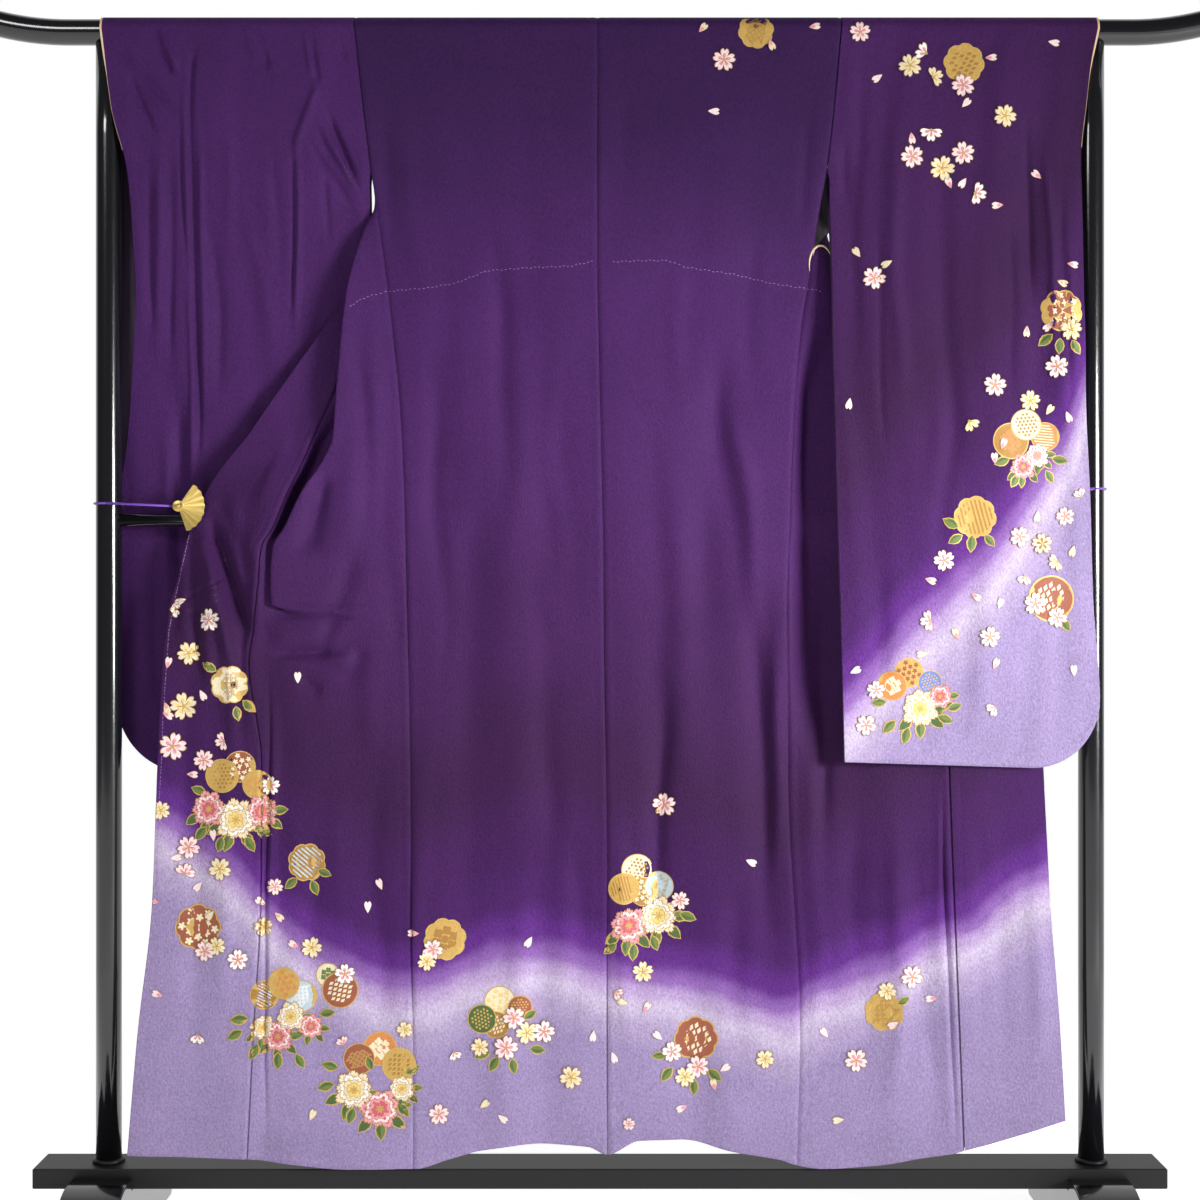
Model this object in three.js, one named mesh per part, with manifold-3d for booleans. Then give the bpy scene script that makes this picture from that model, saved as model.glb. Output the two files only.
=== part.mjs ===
// Furisode (long-sleeved silk kimono) spread on a lacquered kimono stand.
// Millimetres, +Z up. The shown outer back of the garment faces -Y.
// Every cloth piece is a wall of one thickness built on a surface that is worked out
// from the section tables below; neighbouring pieces stop SEAM apart.
import * as THREE from 'three';
import Module from 'manifold-3d';

const wasm = await Module();
wasm.setup();
const { Manifold, Mesh: ManifoldMesh } = wasm;

// Driving dimensions.
const CLOTH = 1.6;            // wall of lined crepe
const SEAM = 0.3;             // gap between sewn pieces and at seats
const ROD_R = 18.5;           // top rod radius
const ROD_Z = 1751;           // rod centre height
const ROD_HALF = 930;         // rod half length
const TURN_UP_AT = 770;       // where the rod ends start to rise
const TURN_UP_R = 417;        // radius of the upturned ends
const POST_X = 712;           // the two posts, left and right of the middle
const POST_R = 18.5;
const RAIL_R = 9.7;
const RAIL_Z = 1044;
const BAR_HALF = 812;         // half length of the base bar
const BAR_DEPTH = 74;
const BAR_LOW = 85.5;
const BAR_TOP = 114.5;
const FOOT_WIDE = 86;         // foot size along X
const FOOT_REACH = 205;       // foot half length front to back
const SOCKET_R = 23;
const SOCKET_H = 6;
const REST = 0.55;            // clearance at the rod, taken up between the flats of the wrap
const WRAP_R = ROD_R + REST + CLOTH / 2;   // cloth middle over the rod
const JOIN_Z = 1550;          // lower end of the sleeve join
const OKUMI_TIP_Z = 1374;     // where the overlap panel starts and where it has its full width
const OKUMI_FULL_Z = 1225;
const COLLAR_END_Z = [960, 915];           // collar end at its inner and outer edge
const HEM_FADE_Z = 260;       // below this the rows close up to the hem line
const PIPING = 3.6;           // width of lining shown at the cuff
const CORNER_W = 100;         // rounded lower sleeve corner
const CORNER_H = 105;
const CORD_R = 1.6;
const EDGE_ROOM = 0.05;       // extra room beside a seam, taken up by the flats between rows
const COLLAR_ROOM = 0.65;     // the same beside the collar, whose rows are coarser
const NECK_HALF = 80;         // half width of the collar band at the back of the neck
const NECK_DROP = 55;         // how far that band hangs behind the rod
const NECK_FLARE = 3;         // how far its lower edge stands off
const JOIN_EASE = 16;         // height over which the sleeve leaves the body seam
const SLEEVE_STAND_OFF = 1.2; // gap between the free sleeve edge and the side seam
const FOLD_EASE = 160;        // height over which a soft fold of the back grows and fades
const SWING = 60;             // height over which the front swings clear below the armhole

// Section of a front at each height: [x, depth] of the side seam, outer fold, back fold,
// middle, overlap seam, collar seam and free edge. Depth is Y, less is nearer the viewer.
const FRONT_COLUMNS = ['side', 'fold', 'back', 'middle', 'overlap', 'collar', 'edge'];
const LEFT_FRONT = [
  [1751, -354, WRAP_R, -311, WRAP_R, -268, WRAP_R, -223, WRAP_R, -177, WRAP_R, -129, WRAP_R, -80, WRAP_R],
  [1630, -341, 21.5, -325, 28, -306, 36, -283, 42, -257, 44, -224, 42, -185, 36],
  [1555, -332, 15, -324, 22, -311, 32, -295, 40, -281, 44, -261, 44, -233, 39],
  [1498, -322, -10, -326, 0, -314, 18, -304, 31, -295, 38, -287, 43, -277, 46],
  [1470, -318, -11, -338, -9, -314, 10, -304, 22, -300, 31, -298, 38, -296, 45],
  [1441, -315, -12, -347, -17, -318, 1, -303, 12, -302, 20, -307, 27, -316, 27],
  [1408, -310, -13, -356, -22, -318, -5, -301, 4, -306, 13, -321, 14, -338, 9],
  [1374, -306, -15, -363, -27, -318, -8, -301, 4, -318, 13, -338, 12, -362, 6],
  [1301, -297, -17, -371, -35, -327, -14, -322, 0, -352, 2, -380, 0, -415, -3],
  [1213, -288, -20, -377, -42, -338, -22, -352, -5, -389, -12, -431, -10, -476, -9],
  [1160, -285, -22, -380, -48, -340, -22, -396, -8, -412, -22, -458, -18, -512, -13],
  [1128, -283, -24, -393, -51, -350, -24, -410, -12, -425, -30, -475, -22, -538, -16],
  [1083, -281, -26, -423, -55, -370, -28, -434, -20, -445, -40, -503, -29, -568, -15],
  [1028, -279, -28, -449, -58, -395, -32, -458, -34, -467, -48, -522, -36, -590, -20],
  [1005, -278, -29, -463, -58, -408, -34, -470, -46, -480, -52, -530, -39, -597, -27],
  [960, -276, -31, -467, -57, -430, -38, -474, -48, -484, -53, -535, -41, -606, -30],
  [922, -275, -32, -466, -57, -449, -44, -478, -49, -488, -52, -540, -41, -616, -34],
  [913, -275, -32, -436, -55, -451, -46, -477, -49, -489, -51, -541, -41, -617, -34],
  [904, -275, -32, -392, -49, -451, -47, -477, -48, -490, -50, -542, -41, -618, -35],
  [892, -275, -32, -378, -45, -450, -47, -476, -47, -491, -49, -544, -41, -619, -36],
  [839, -275, -34, -376, -43, -444, -46, -475, -42, -499, -45, -552, -42, -624, -40],
  [697, -271, -38, -364, -41, -420, -45, -461, -43, -481, -46, -552, -44, -631, -42],
  [497, -268, -42, -363, -45, -420, -48, -463, -45, -482, -48, -558, -46, -638, -45],
  [313, -266, -45, -363, -48, -427, -50, -473, -48, -492, -50, -572, -48, -658, -47],
  [100, -265, -47, -362, -51, -429, -53, -485, -50, -502, -52, -583, -50, -676, -48],
];
const RIGHT_FRONT = [
  [1751, 348, WRAP_R, 305, WRAP_R, 262, WRAP_R, 218, WRAP_R, 174, WRAP_R, 129, WRAP_R, 80, WRAP_R],
  [1637, 339, 21.5, 325, 28, 306, 36, 284, 42, 260, 44, 227, 42, 185, 36],
  [1560, 332, 19, 325, 26, 312, 34, 296, 43, 278, 47, 256, 46, 232, 39],
  [1507, 336, 18, 326, 26, 319, 31, 307, 40, 297, 46, 286, 51, 272, 54],
  [1470, 337, 10, 331, 14, 327, 18, 318, 31, 309, 42, 305, 52, 304, 62],
  [1440, 322, -3, 328, 2, 336, 11, 329, 25, 319, 38, 320, 48, 328, 57],
  [1416, 305, -10, 327, -6, 343, 8, 336, 22, 324, 34, 328, 44, 343, 48],
  [1354, 294, -13, 335, -8, 363, 6, 351, 20, 346, 30, 365, 36, 388, 32],
  [1221, 281, -19, 308, 0, 376, -26, 362, 0, 390, 8, 433, 8, 479, 4],
  [1089, 274, -26, 302, -8, 388, -40, 380, -20, 432, -18, 504, -18, 581, -16],
  [1040, 273, -28, 303, -14, 398, -40, 398, -22, 452, -20, 524, -20, 598, -18],
  [989, 272, -30, 304, -8, 411, -42, 419, -27, 474, -27, 545, -26, 615, -24],
  [903, 269, -32, 304, -8, 411, -42, 440, -37, 492, -38, 558, -36, 624, -34],
  [817, 268, -34, 306, -12, 406, -43, 457, -42, 496, -44, 563, -42, 627, -40],
  [682, 269, -38, 340, -36, 406, -44, 471, -43, 499, -46, 567, -44, 633, -42],
  [504, 277, -42, 350, -42, 413, -47, 473, -46, 505, -48, 570, -46, 641, -45],
  [319, 285, -45, 356, -45, 420, -50, 481, -48, 512, -50, 581, -48, 655, -47],
  [106, 280, -47, 356, -48, 419, -52, 489, -50, 520, -52, 590, -50, 667, -48],
];
// Section of the back: [height, centre x, depth, left side x, depth, right side x, depth].
const BACK = [
  [1751, -4, -WRAP_R, -354, -WRAP_R, 348, -WRAP_R],
  [1633, -3, -21, -341, -17.5, 337, -19],
  [1548, -3, -22, -331, -11, 327, -16],
  [1491, -3, -23, -322, -10, 317, -13],
  [1405, -3, -25, -310, -13.5, 305, -10],
  [1301, -1, -27, -297, -17, 288, -15],
  [1215, 0, -28, -288, -20, 281, -19],
  [1086, 3, -30, -281, -26, 274, -26],
  [899, 6, -34, -275, -33, 269, -32],
  [678, 9, -38, -271, -38, 269, -38],
  [315, 11, -44, -266, -45, 285, -45],
  [102, 11, -47, -265, -47, 280, -47],
];
// Soft folds of the back: [side, place from centre 0 to side 1, half width, depth, top, bottom].
const BACK_FOLDS = [
  [-1, 0.24, 0.09, 6, 1330, 900], [-1, 0.70, 0.10, 5, 1150, 300], [-1, 0.48, 0.12, -5, 1250, 500],
  [1, 0.28, 0.08, 5, 900, 350], [1, 0.55, 0.11, 7, 1280, 820], [1, 0.86, 0.09, 8, 1000, 380],
  [1, 0.42, 0.10, -5, 1150, 600], [-1, 0.33, 0.10, 6, 620, 60], [1, 0.45, 0.12, 6, 520, 60],
];
// Section of a sleeve: [height, inner x, near outer x, far outer x,
// near inner depth, near outer depth, far inner depth, far outer depth].
const LEFT_SLEEVE = [
  [1751, -355, -717, -717, -WRAP_R, -WRAP_R, WRAP_R, WRAP_R],
  [1635, -341, -702, -706, -17.5, -21.5, 22, 22.5],
  [1550, -332, -682, -702, -11, -15.5, 15, 22],
  [1495, -332, -677, -700, 0, -12, 22, 22],
  [1421, -334, -674, -700, 12, -6, 28, 22],
  [1378, -336, -672, -700, 18, -3, 30, 22],
  [1305, -336, -676, -700, 22, 2, 32, 20],
  [1158, -339, -691, -702, 23, 20, 32, 27],
  [1085, -342, -703, -706, 23, 25.5, 32, 31],
  [924, -345, -709, -710, 23, 27, 31, 32],
  [778, -350, -708, -709, 24, 27.5, 29, 31.5],
  [660, -351, -706, -707, 25, 28, 29, 32],
];
const RIGHT_SLEEVE = [
  [1751, 349, 716, 716, -WRAP_R, -WRAP_R, WRAP_R, WRAP_R],
  [1701, 342, 706, 706, -20.3, -21.5, 21, 21.5],
  [1643, 337, 699, 688, -19.5, -22.5, 21, 19],
  [1563, 329, 691, 682, -17, -23.5, 18, 8],
  [1498, 329, 692, 680, -21, -25, 2, -14],
  [1443, 330, 693, 687, -26, -27, -12, -22.5],
  [1377, 331, 693, 693, -33, -31, -23, -26],
  [1303, 331, 694, 694, -42, -36, -34, -31],
  [1216, 332, 693, 693, -53, -42, -46, -38],
  [1074, 334, 697, 697, -64, -50, -56, -46],
  [932, 338, 700, 700, -67, -54, -60, -50],
  [791, 342, 709, 709, -68, -57, -63, -53],
  [678, 345, 711, 711, -68, -58, -64, -54],
];
// Sleeve: [side, table, bottom at inner edge, bottom at corner, near bulge, far bulge].
const SLEEVES = [
  ['left', -1, LEFT_SLEEVE, 676, 676, -5, 5],
  ['right', 1, RIGHT_SLEEVE, 699, 687, -6, 3],
];
// Hem line: [x, height].
const HEM = [
  [-675, 137], [-584, 135], [-502, 133], [-441, 126], [-356, 118], [-265, 118], [-213, 132],
  [-167, 144], [-88, 153], [-17, 149], [10, 138], [57, 158], [112, 159], [189, 142], [256, 131],
  [280, 123], [316, 118], [387, 123], [450, 133], [501, 140], [521, 146], [593, 165], [666, 187],
];
// Clips: [side, pivot x, pivot height, cord loop height].
const CLIPS = [['left', -606, 1063, 1067.5], ['right', 622, 1070, 1088.5]];

// Tables to smooth curves.
function smoothAt(table, at, column) {
  const rows = table[0][0] > table[table.length - 1][0] ? [...table].reverse() : table;
  const n = rows.length;
  if (at <= rows[0][0]) return rows[0][column];
  if (at >= rows[n - 1][0]) return rows[n - 1][column];
  let k = 0;
  while (at > rows[k + 1][0]) k += 1;
  const rise = (i) => (rows[i + 1][column] - rows[i][column]) / (rows[i + 1][0] - rows[i][0]);
  const slope = (i) => {
    if (i === 0 || i === n - 1) return rise(Math.min(i, n - 2));
    const above = rise(i - 1);
    const below = rise(i);
    return above * below <= 0 ? 0 : (2 * above * below) / (above + below);
  };
  const span = rows[k + 1][0] - rows[k][0];
  const t = (at - rows[k][0]) / span;
  return (2 * t ** 3 - 3 * t ** 2 + 1) * rows[k][column] + (t ** 3 - 2 * t ** 2 + t) * span * slope(k)
    + (3 * t ** 2 - 2 * t ** 3) * rows[k + 1][column] + (t ** 3 - t ** 2) * span * slope(k + 1);
}
const mix = (a, b, t) => a + (b - a) * t;
const clamp = (t, low = 0, high = 1) => Math.min(high, Math.max(low, t));
function ease(t) {
  const c = clamp(t);
  return c * c * (3 - 2 * c);
}

// Centripetal curve through four [x, depth] points, between the middle two.
function through(p0, p1, p2, p3, t) {
  const knot = (a, b) => Math.max(1e-3, Math.sqrt(Math.hypot(b[0] - a[0], b[1] - a[1])));
  const k1 = knot(p0, p1);
  const k2 = k1 + knot(p1, p2);
  const k3 = k2 + knot(p2, p3);
  const s = mix(k1, k2, t);
  const join = (a, b, from, to) => [mix(a[0], b[0], (s - from) / (to - from)),
    mix(a[1], b[1], (s - from) / (to - from))];
  const a1 = join(p0, p1, 0, k1);
  const a2 = join(p1, p2, k1, k2);
  const a3 = join(p2, p3, k2, k3);
  return join(join(a1, a2, 0, k2), join(a2, a3, k1, k3), k1, k2);
}

// The body as one surface: q 0 centre back, 1 side seam, 2 overlap seam, 3 collar seam, 4 edge.
const SIDES = {
  left: { sign: -1, front: LEFT_FRONT, backColumn: 3, armhole: 1498 },
  right: { sign: 1, front: RIGHT_FRONT, backColumn: 5, armhole: 1416 },
};
function wrap(x, height, sign) {
  const angle = (height - ROD_Z) / WRAP_R;
  return [x, sign * WRAP_R * Math.cos(angle), ROD_Z + WRAP_R * Math.sin(angle)];
}
function backPoint(side, u, height) {
  const low = Math.min(height, ROD_Z);
  const seam = [smoothAt(BACK, low, SIDES[side].backColumn), smoothAt(BACK, low, SIDES[side].backColumn + 1)];
  const x = mix(smoothAt(BACK, low, 1), seam[0], u);
  if (height > ROD_Z) return wrap(x, height, -1);
  let y = mix(smoothAt(BACK, low, 2), seam[1], u);
  for (const [sign, place, half, depth, top, bottom] of BACK_FOLDS) {
    if (sign !== SIDES[side].sign) continue;
    y += depth * Math.exp(-(((u - place) / half) ** 2)) * ease((top - height) / FOLD_EASE)
      * ease((height - bottom) / FOLD_EASE) * ease(u / 0.12) * ease((1 - u) / 0.12);
  }
  return [x, y, height];
}
function frontPoint(side, q, height) {
  const { front, armhole } = SIDES[side];
  const low = Math.min(height, ROD_Z);
  const value = (column) => smoothAt(front, low, column);
  const points = FRONT_COLUMNS.map((_, i) => [value(1 + 2 * i), value(2 + 2 * i)]);
  const seam = backPoint(side, 1, low);
  const away = ease((low - armhole) / SWING);
  points[0] = [mix(seam[0], points[0][0], away), mix(seam[1], points[0][1], away)];
  const near = backPoint(side, 0.93, low);
  const n = points.length - 1;
  const before = height <= armhole ? [near[0], near[1]]
    : [2 * points[0][0] - points[1][0], 2 * points[0][1] - points[1][1]];
  const after = [2 * points[n][0] - points[n - 1][0], 2 * points[n][1] - points[n - 1][1]];
  const all = [before, ...points, after];
  const along = Math.min(6.02, Math.max(0, q <= 2 ? (q - 1) * 4 : q + 2));
  const k = Math.min(n - 1, Math.floor(along));
  const [x, y] = through(all[k], all[k + 1], all[k + 2], all[k + 3], along - k);
  return height > ROD_Z ? wrap(x, height, 1) : [x, y, height];
}
function bodyPoint(side, q, height) {
  return q <= 1 ? backPoint(side, q, height) : frontPoint(side, q, height);
}
// Rows close up to the hem: the nominal height HEM_ROW is the hem itself.
const HEM_ROW = 100;
const HEM_MIDDLE = 140;       // about the middle height of the hem line
function toHem(side, q, nominal) {
  if (nominal >= HEM_FADE_Z) return nominal;
  const hem = smoothAt(HEM, bodyPoint(side, q, HEM_MIDDLE)[0], 1);
  return mix(hem, HEM_FADE_Z, (nominal - HEM_ROW) / (HEM_FADE_Z - HEM_ROW));
}
const overlapSeam = (height) => 3 - ease((OKUMI_TIP_Z - height) / (OKUMI_TIP_Z - OKUMI_FULL_Z));
const collarSeam = (height) => 3 + clamp((COLLAR_END_Z[0] - height) / (COLLAR_END_Z[0] - COLLAR_END_Z[1]));

// Walls: a grid of points and normals, closed all round.
function solidFrom(positions, index) {
  const geometry = new THREE.BufferGeometry();
  geometry.setAttribute('position', new THREE.Float32BufferAttribute(positions, 3));
  geometry.setIndex(index);
  const plain = geometry.toNonIndexed();
  plain.computeVertexNormals();
  return plain;
}
// point(u, w) gives the middle of the wall; the first rows of each face lie on its edges.
function wall(point, us, ws, thickness = CLOTH) {
  const front = [];
  const back = [];
  const step = 1e-3;
  for (const w of ws) {
    for (const u of us) {
      const p = point(u, w);
      const a = new THREE.Vector3(...point(u + step, w)).sub(new THREE.Vector3(...point(u - step, w)));
      const b = new THREE.Vector3(...point(u, w + step)).sub(new THREE.Vector3(...point(u, w - step)));
      const n = a.cross(b).normalize().multiplyScalar(thickness / 2);
      front.push(p[0] + n.x, p[1] + n.y, p[2] + n.z);
      back.push(p[0] - n.x, p[1] - n.y, p[2] - n.z);
    }
  }
  const nu = us.length;
  const nw = ws.length;
  const total = nu * nw;
  const index = [];
  for (let j = 0; j < nw - 1; j += 1) {
    for (let i = 0; i < nu - 1; i += 1) {
      const a = j * nu + i;
      const [b, c, d] = [a + 1, a + nu, a + nu + 1];
      index.push(a, b, d, a, d, c, total + a, total + d, total + b, total + a, total + c, total + d);
    }
  }
  const edge = (a, b) => index.push(a, total + a, total + b, a, total + b, b);
  for (let i = 0; i < nu - 1; i += 1) {
    edge(i, i + 1);
    edge((nw - 1) * nu + i + 1, (nw - 1) * nu + i);
  }
  for (let j = 0; j < nw - 1; j += 1) {
    edge((j + 1) * nu, j * nu);
    edge(j * nu + nu - 1, (j + 1) * nu + nu - 1);
  }
  const positions = [...front, ...back];
  const geometry = solidFrom(positions, index);
  return volume(geometry) > 0 ? geometry : flipped(positions, index);
}
function flipped(positions, index) {
  const other = [];
  for (let i = 0; i < index.length; i += 3) other.push(index[i], index[i + 2], index[i + 1]);
  return solidFrom(positions, other);
}
function volume(geometry) {
  const p = geometry.attributes.position;
  const v = (i) => new THREE.Vector3().fromBufferAttribute(p, i);
  let sum = 0;
  for (let i = 0; i < p.count; i += 3) sum += v(i).dot(v(i + 1).cross(v(i + 2))) / 6;
  return sum;
}
const spread = (n, from = 0, to = 1) => Array.from({ length: n + 1 }, (_, i) => mix(from, to, i / n));

// A body piece between two seams; rows are nominal heights.
function bodyPiece(side, seams, rows, columns) {
  const reach = 0.004;
  const shortest = 0.2;
  const inset = (q, height) => {
    const a = bodyPoint(side, q - reach, height);
    const b = bodyPoint(side, q + reach, height);
    const apart = Math.hypot(b[0] - a[0], b[1] - a[1], b[2] - a[2]);
    return (SEAM / 2 + EDGE_ROOM) * 2 * reach / Math.max(shortest, apart);
  };
  const point = (u, w) => {
    const k = clamp(Math.floor(w), 0, rows.length - 2);
    const nominal = mix(rows[k], rows[k + 1], w - k);
    const [from, to] = seams(Math.max(nominal, HEM_ROW));
    const low = Math.min(nominal, ROD_Z - 1);
    let q = mix(from + inset(from + 0.01, low), to - inset(to - 0.01, low), u);
    const height = toHem(side, clamp(q, 0, 3.99), nominal);
    // above the armhole the back and the front are apart
    if (height > SIDES[side].armhole) q = from >= 1 ? Math.max(1, q) : Math.min(1, q);
    return q < 0 ? backPoint(side === 'left' ? 'right' : 'left', -q, height) : bodyPoint(side, q, height);
  };
  return wall(point, columns, rows.map((_, i) => i));
}
const SHOULDER_ARC = WRAP_R * (Math.PI / 2) - SEAM / 2 - EDGE_ROOM;
const ROD_ROWS = spread(5, ROD_Z, ROD_Z + SHOULDER_ARC);

const BODY_ROWS = [HEM_ROW, 180, 260, 360, 480, 600, 700, 780, 840, 880, 900, 915, 930, 945, 960, 985, 1030,
  1080, 1130, 1180, 1225, 1265, 1305, 1340, 1374, 1408, 1425, 1441, 1455, 1470, 1485, 1500, 1530, 1560, 1600,
  1650, 1705, ...ROD_ROWS];
const OKUMI_ROWS = BODY_ROWS.filter((z) => z <= 1340);
const COLLAR_FOOT = 1030;     // rows below this slant with the collar's lower end
const COLLAR_LIFT = 1.6;      // the collar's end stands this far off the overlap below it
const COLLAR_ROWS = [COLLAR_END_Z[0] + COLLAR_LIFT, ...BODY_ROWS.filter((z) => z > 980)];

// The armhole's lower end gets a row of its own in the pieces that meet there.
const withArmhole = (rows, side) => [...rows.filter((r) => Math.abs(r - SIDES[side].armhole) > 14),
  SIDES[side].armhole].sort((a, b) => a - b);

const group = new THREE.Group();
group.name = 'furisode_on_stand';
function add(name, geometry, color, roughness, metalness = 0) {
  const mesh = new THREE.Mesh(geometry, new THREE.MeshStandardMaterial({ color, roughness, metalness }));
  mesh.name = name;
  group.add(mesh);
}
const PURPLE = 0x46286a;
const CREAM = 0xead0a8;
const LACQUER = 0x0b0b0d;
const SATIN = 0x1b1b1e;
const GOLD = 0xcaa24a;
const VIOLET = 0x5a2a9a;

// Back, front, overlap and collar pieces.
for (const side of ['left', 'right']) {
  const rows = withArmhole(BODY_ROWS, side);
  add(`${side}_back`, bodyPiece(side, () => [0, 1], rows, spread(8)), PURPLE, 0.8);
  add(`${side}_front`, bodyPiece(side, (h) => [1, overlapSeam(h)], rows, spread(16)), PURPLE, 0.8);
  const okumiSeams = (h) => [overlapSeam(h), collarSeam(h)];
  add(`${side}_okumi`, bodyPiece(side, okumiSeams, OKUMI_ROWS, spread(4)), PURPLE, 0.8);
  // The collar's lower end slants with the seam it meets.
  const collarRows = withArmhole(COLLAR_ROWS, side);
  const foot = (u) => mix(COLLAR_END_Z[0], COLLAR_END_Z[1], u) + COLLAR_LIFT;
  const point = (u, w) => {
    const k = clamp(Math.floor(w), 0, collarRows.length - 2);
    let height = mix(collarRows[k], collarRows[k + 1], w - k);
    if (height < COLLAR_FOOT) {
      height = mix(foot(u), COLLAR_FOOT, (height - collarRows[0]) / (COLLAR_FOOT - collarRows[0]));
    }
    const a = bodyPoint(side, 3, Math.min(height, ROD_Z));
    const b = bodyPoint(side, 3.1, Math.min(height, ROD_Z));
    const gap = (SEAM / 2 + COLLAR_ROOM) * 0.1 / Math.hypot(b[0] - a[0], b[1] - a[1]);
    return bodyPoint(side, mix(3 + gap, 4 - gap, u), height);
  };
  add(`${side}_collar`, wall(point, spread(3), collarRows.map((_, i) => i)), PURPLE, 0.8);
}
// Back of the neck: the collar band lies on the far side of the rod between the two collars.
function neckBand() {
  const half = NECK_HALF - SEAM - 4 * EDGE_ROOM;
  const hangingRows = 3;
  const wrappedRows = 5;
  const point = (u, w) => {
    const x = mix(-half, half, u);
    const height = w <= hangingRows ? mix(ROD_Z - NECK_DROP, ROD_Z, w / hangingRows)
      : ROD_Z + ((w - hangingRows) / wrappedRows) * SHOULDER_ARC;
    if (height > ROD_Z) return wrap(x, height, 1);
    return [x, WRAP_R + NECK_FLARE * ((ROD_Z - height) / NECK_DROP) ** 2, height];
  };
  const bandRows = hangingRows + wrappedRows;
  return wall(point, spread(4), spread(bandRows, 0, bandRows));
}
add('back_collar', neckBand(), PURPLE, 0.8);

// Sleeves: one strip over the rod, near layer, rod, far layer.
function sleevePoint([, , table, innerEnd, cornerEnd, nearBulge, farBulge], side, u, w) {
  // w 0..1 near layer bottom to rod, 1..2 over the rod, 2..3 far layer down to the bottom
  const sign = SIDES[side].sign;
  if (w > 1 && w < 2) {
    const angle = (w - 1) * Math.PI;
    return [mix(table[0][1], table[0][2], u), -WRAP_R * Math.cos(angle), ROD_Z + WRAP_R * Math.sin(angle)];
  }
  const near = w <= 1;
  const t = near ? w : 3 - w;
  const lowOuter = smoothAt(table, cornerEnd, near ? 2 : 3);
  const x = mix(smoothAt(table, cornerEnd, 1), lowOuter, u);
  const c = clamp(1 - Math.abs(lowOuter - x) / CORNER_W);
  const bottom = mix(innerEnd, cornerEnd, Math.min(1, u)) + CORNER_H * (1 - Math.sqrt(1 - c * c));
  const height = mix(bottom, ROD_Z, t);
  let inner = smoothAt(table, height, 1);
  let innerDepth = smoothAt(table, height, near ? 4 : 6);
  const joined = ease((height - (JOIN_Z - JOIN_EASE)) / JOIN_EASE);
  const body = near ? backPoint(side, 1, height) : frontPoint(side, 1, height);
  inner = mix(inner + sign * SLEEVE_STAND_OFF, body[0] + sign * 2.5 * SEAM, joined);
  innerDepth = mix(innerDepth, body[1], joined);
  const outer = smoothAt(table, height, near ? 2 : 3);
  const outerDepth = smoothAt(table, height, near ? 5 : 7);
  const bulge = (near ? nearBulge : farBulge) * Math.sin(Math.PI * clamp(u))
    * ease((ROD_Z - height) / 200) * ease((height - bottom) / 150);
  return [mix(inner, outer, u), mix(innerDepth, outerDepth, u) + bulge, height];
}
const SLEEVE_U = [0, 0.14, 0.3, 0.46, 0.6, 0.72, 0.82, 0.9, 0.96, 1];
const DOWN = [0, 0.03, 0.07, 0.13, 0.2, 0.3, 0.4, 0.48, 0.56, 0.64, 0.7, 0.76, 0.82, 0.88, 0.94];
const SLEEVE_W = [...DOWN, ...spread(10, 1, 2), ...DOWN.map((t) => 3 - t).reverse()];
for (const row of SLEEVES) {
  const [side, sign] = row;
  const strip = (u, w) => sleevePoint(row, side, u, clamp(w, 0, 3));
  add(`${side}_sleeve`, wall(strip, SLEEVE_U, SLEEVE_W), PURPLE, 0.8);
  // Cuff opening: the lining shows as a narrow rolled edge from join height over the rod.
  const open = [0.82, 0.88, 0.94, ...spread(10, 1, 2), 2.06, 2.12, 2.18];
  const rim = (u, w) => {
    const [x, y, z] = sleevePoint(row, side, 1, w);
    return [x + sign * (SEAM + PIPING * u), y, z];
  };
  add(`${side}_cuff_piping`, wall(rim, [0, 1], open), CREAM, 0.7);
}

// Stand.
function toManifold(geometry) {
  const p = geometry.attributes.position;
  const keys = new Map();
  const vert = [];
  const tri = [];
  const order = geometry.index ? Array.from(geometry.index.array) : [...Array(p.count).keys()];
  for (const i of order) {
    const key = [p.getX(i), p.getY(i), p.getZ(i)].map((v) => Math.round(v * 1e4)).join();
    if (!keys.has(key)) {
      keys.set(key, vert.length / 3);
      vert.push(p.getX(i), p.getY(i), p.getZ(i));
    }
    tri.push(keys.get(key));
  }
  const kept = [];
  for (let i = 0; i < tri.length; i += 3) {
    const [a, b, c] = tri.slice(i, i + 3);
    if (a !== b && b !== c && a !== c) kept.push(a, b, c);
  }
  return new Manifold(new ManifoldMesh({
    numProp: 3, vertProperties: new Float32Array(vert), triVerts: new Uint32Array(kept),
  }));
}
function fromManifold(solid) {
  const mesh = solid.getMesh();
  const geometry = new THREE.BufferGeometry();
  geometry.setAttribute('position', new THREE.BufferAttribute(new Float32Array(mesh.vertProperties), 3));
  geometry.setIndex(Array.from(mesh.triVerts));
  const plain = geometry.toNonIndexed();
  plain.computeVertexNormals();
  return plain;
}
const laidAlong = (geometry, axis, x = 0, y = 0, z = 0) => {
  if (axis === 'x') geometry.rotateZ(Math.PI / 2);
  if (axis === 'z') geometry.rotateX(Math.PI / 2);
  return geometry.translate(x, y, z);
};
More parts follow.
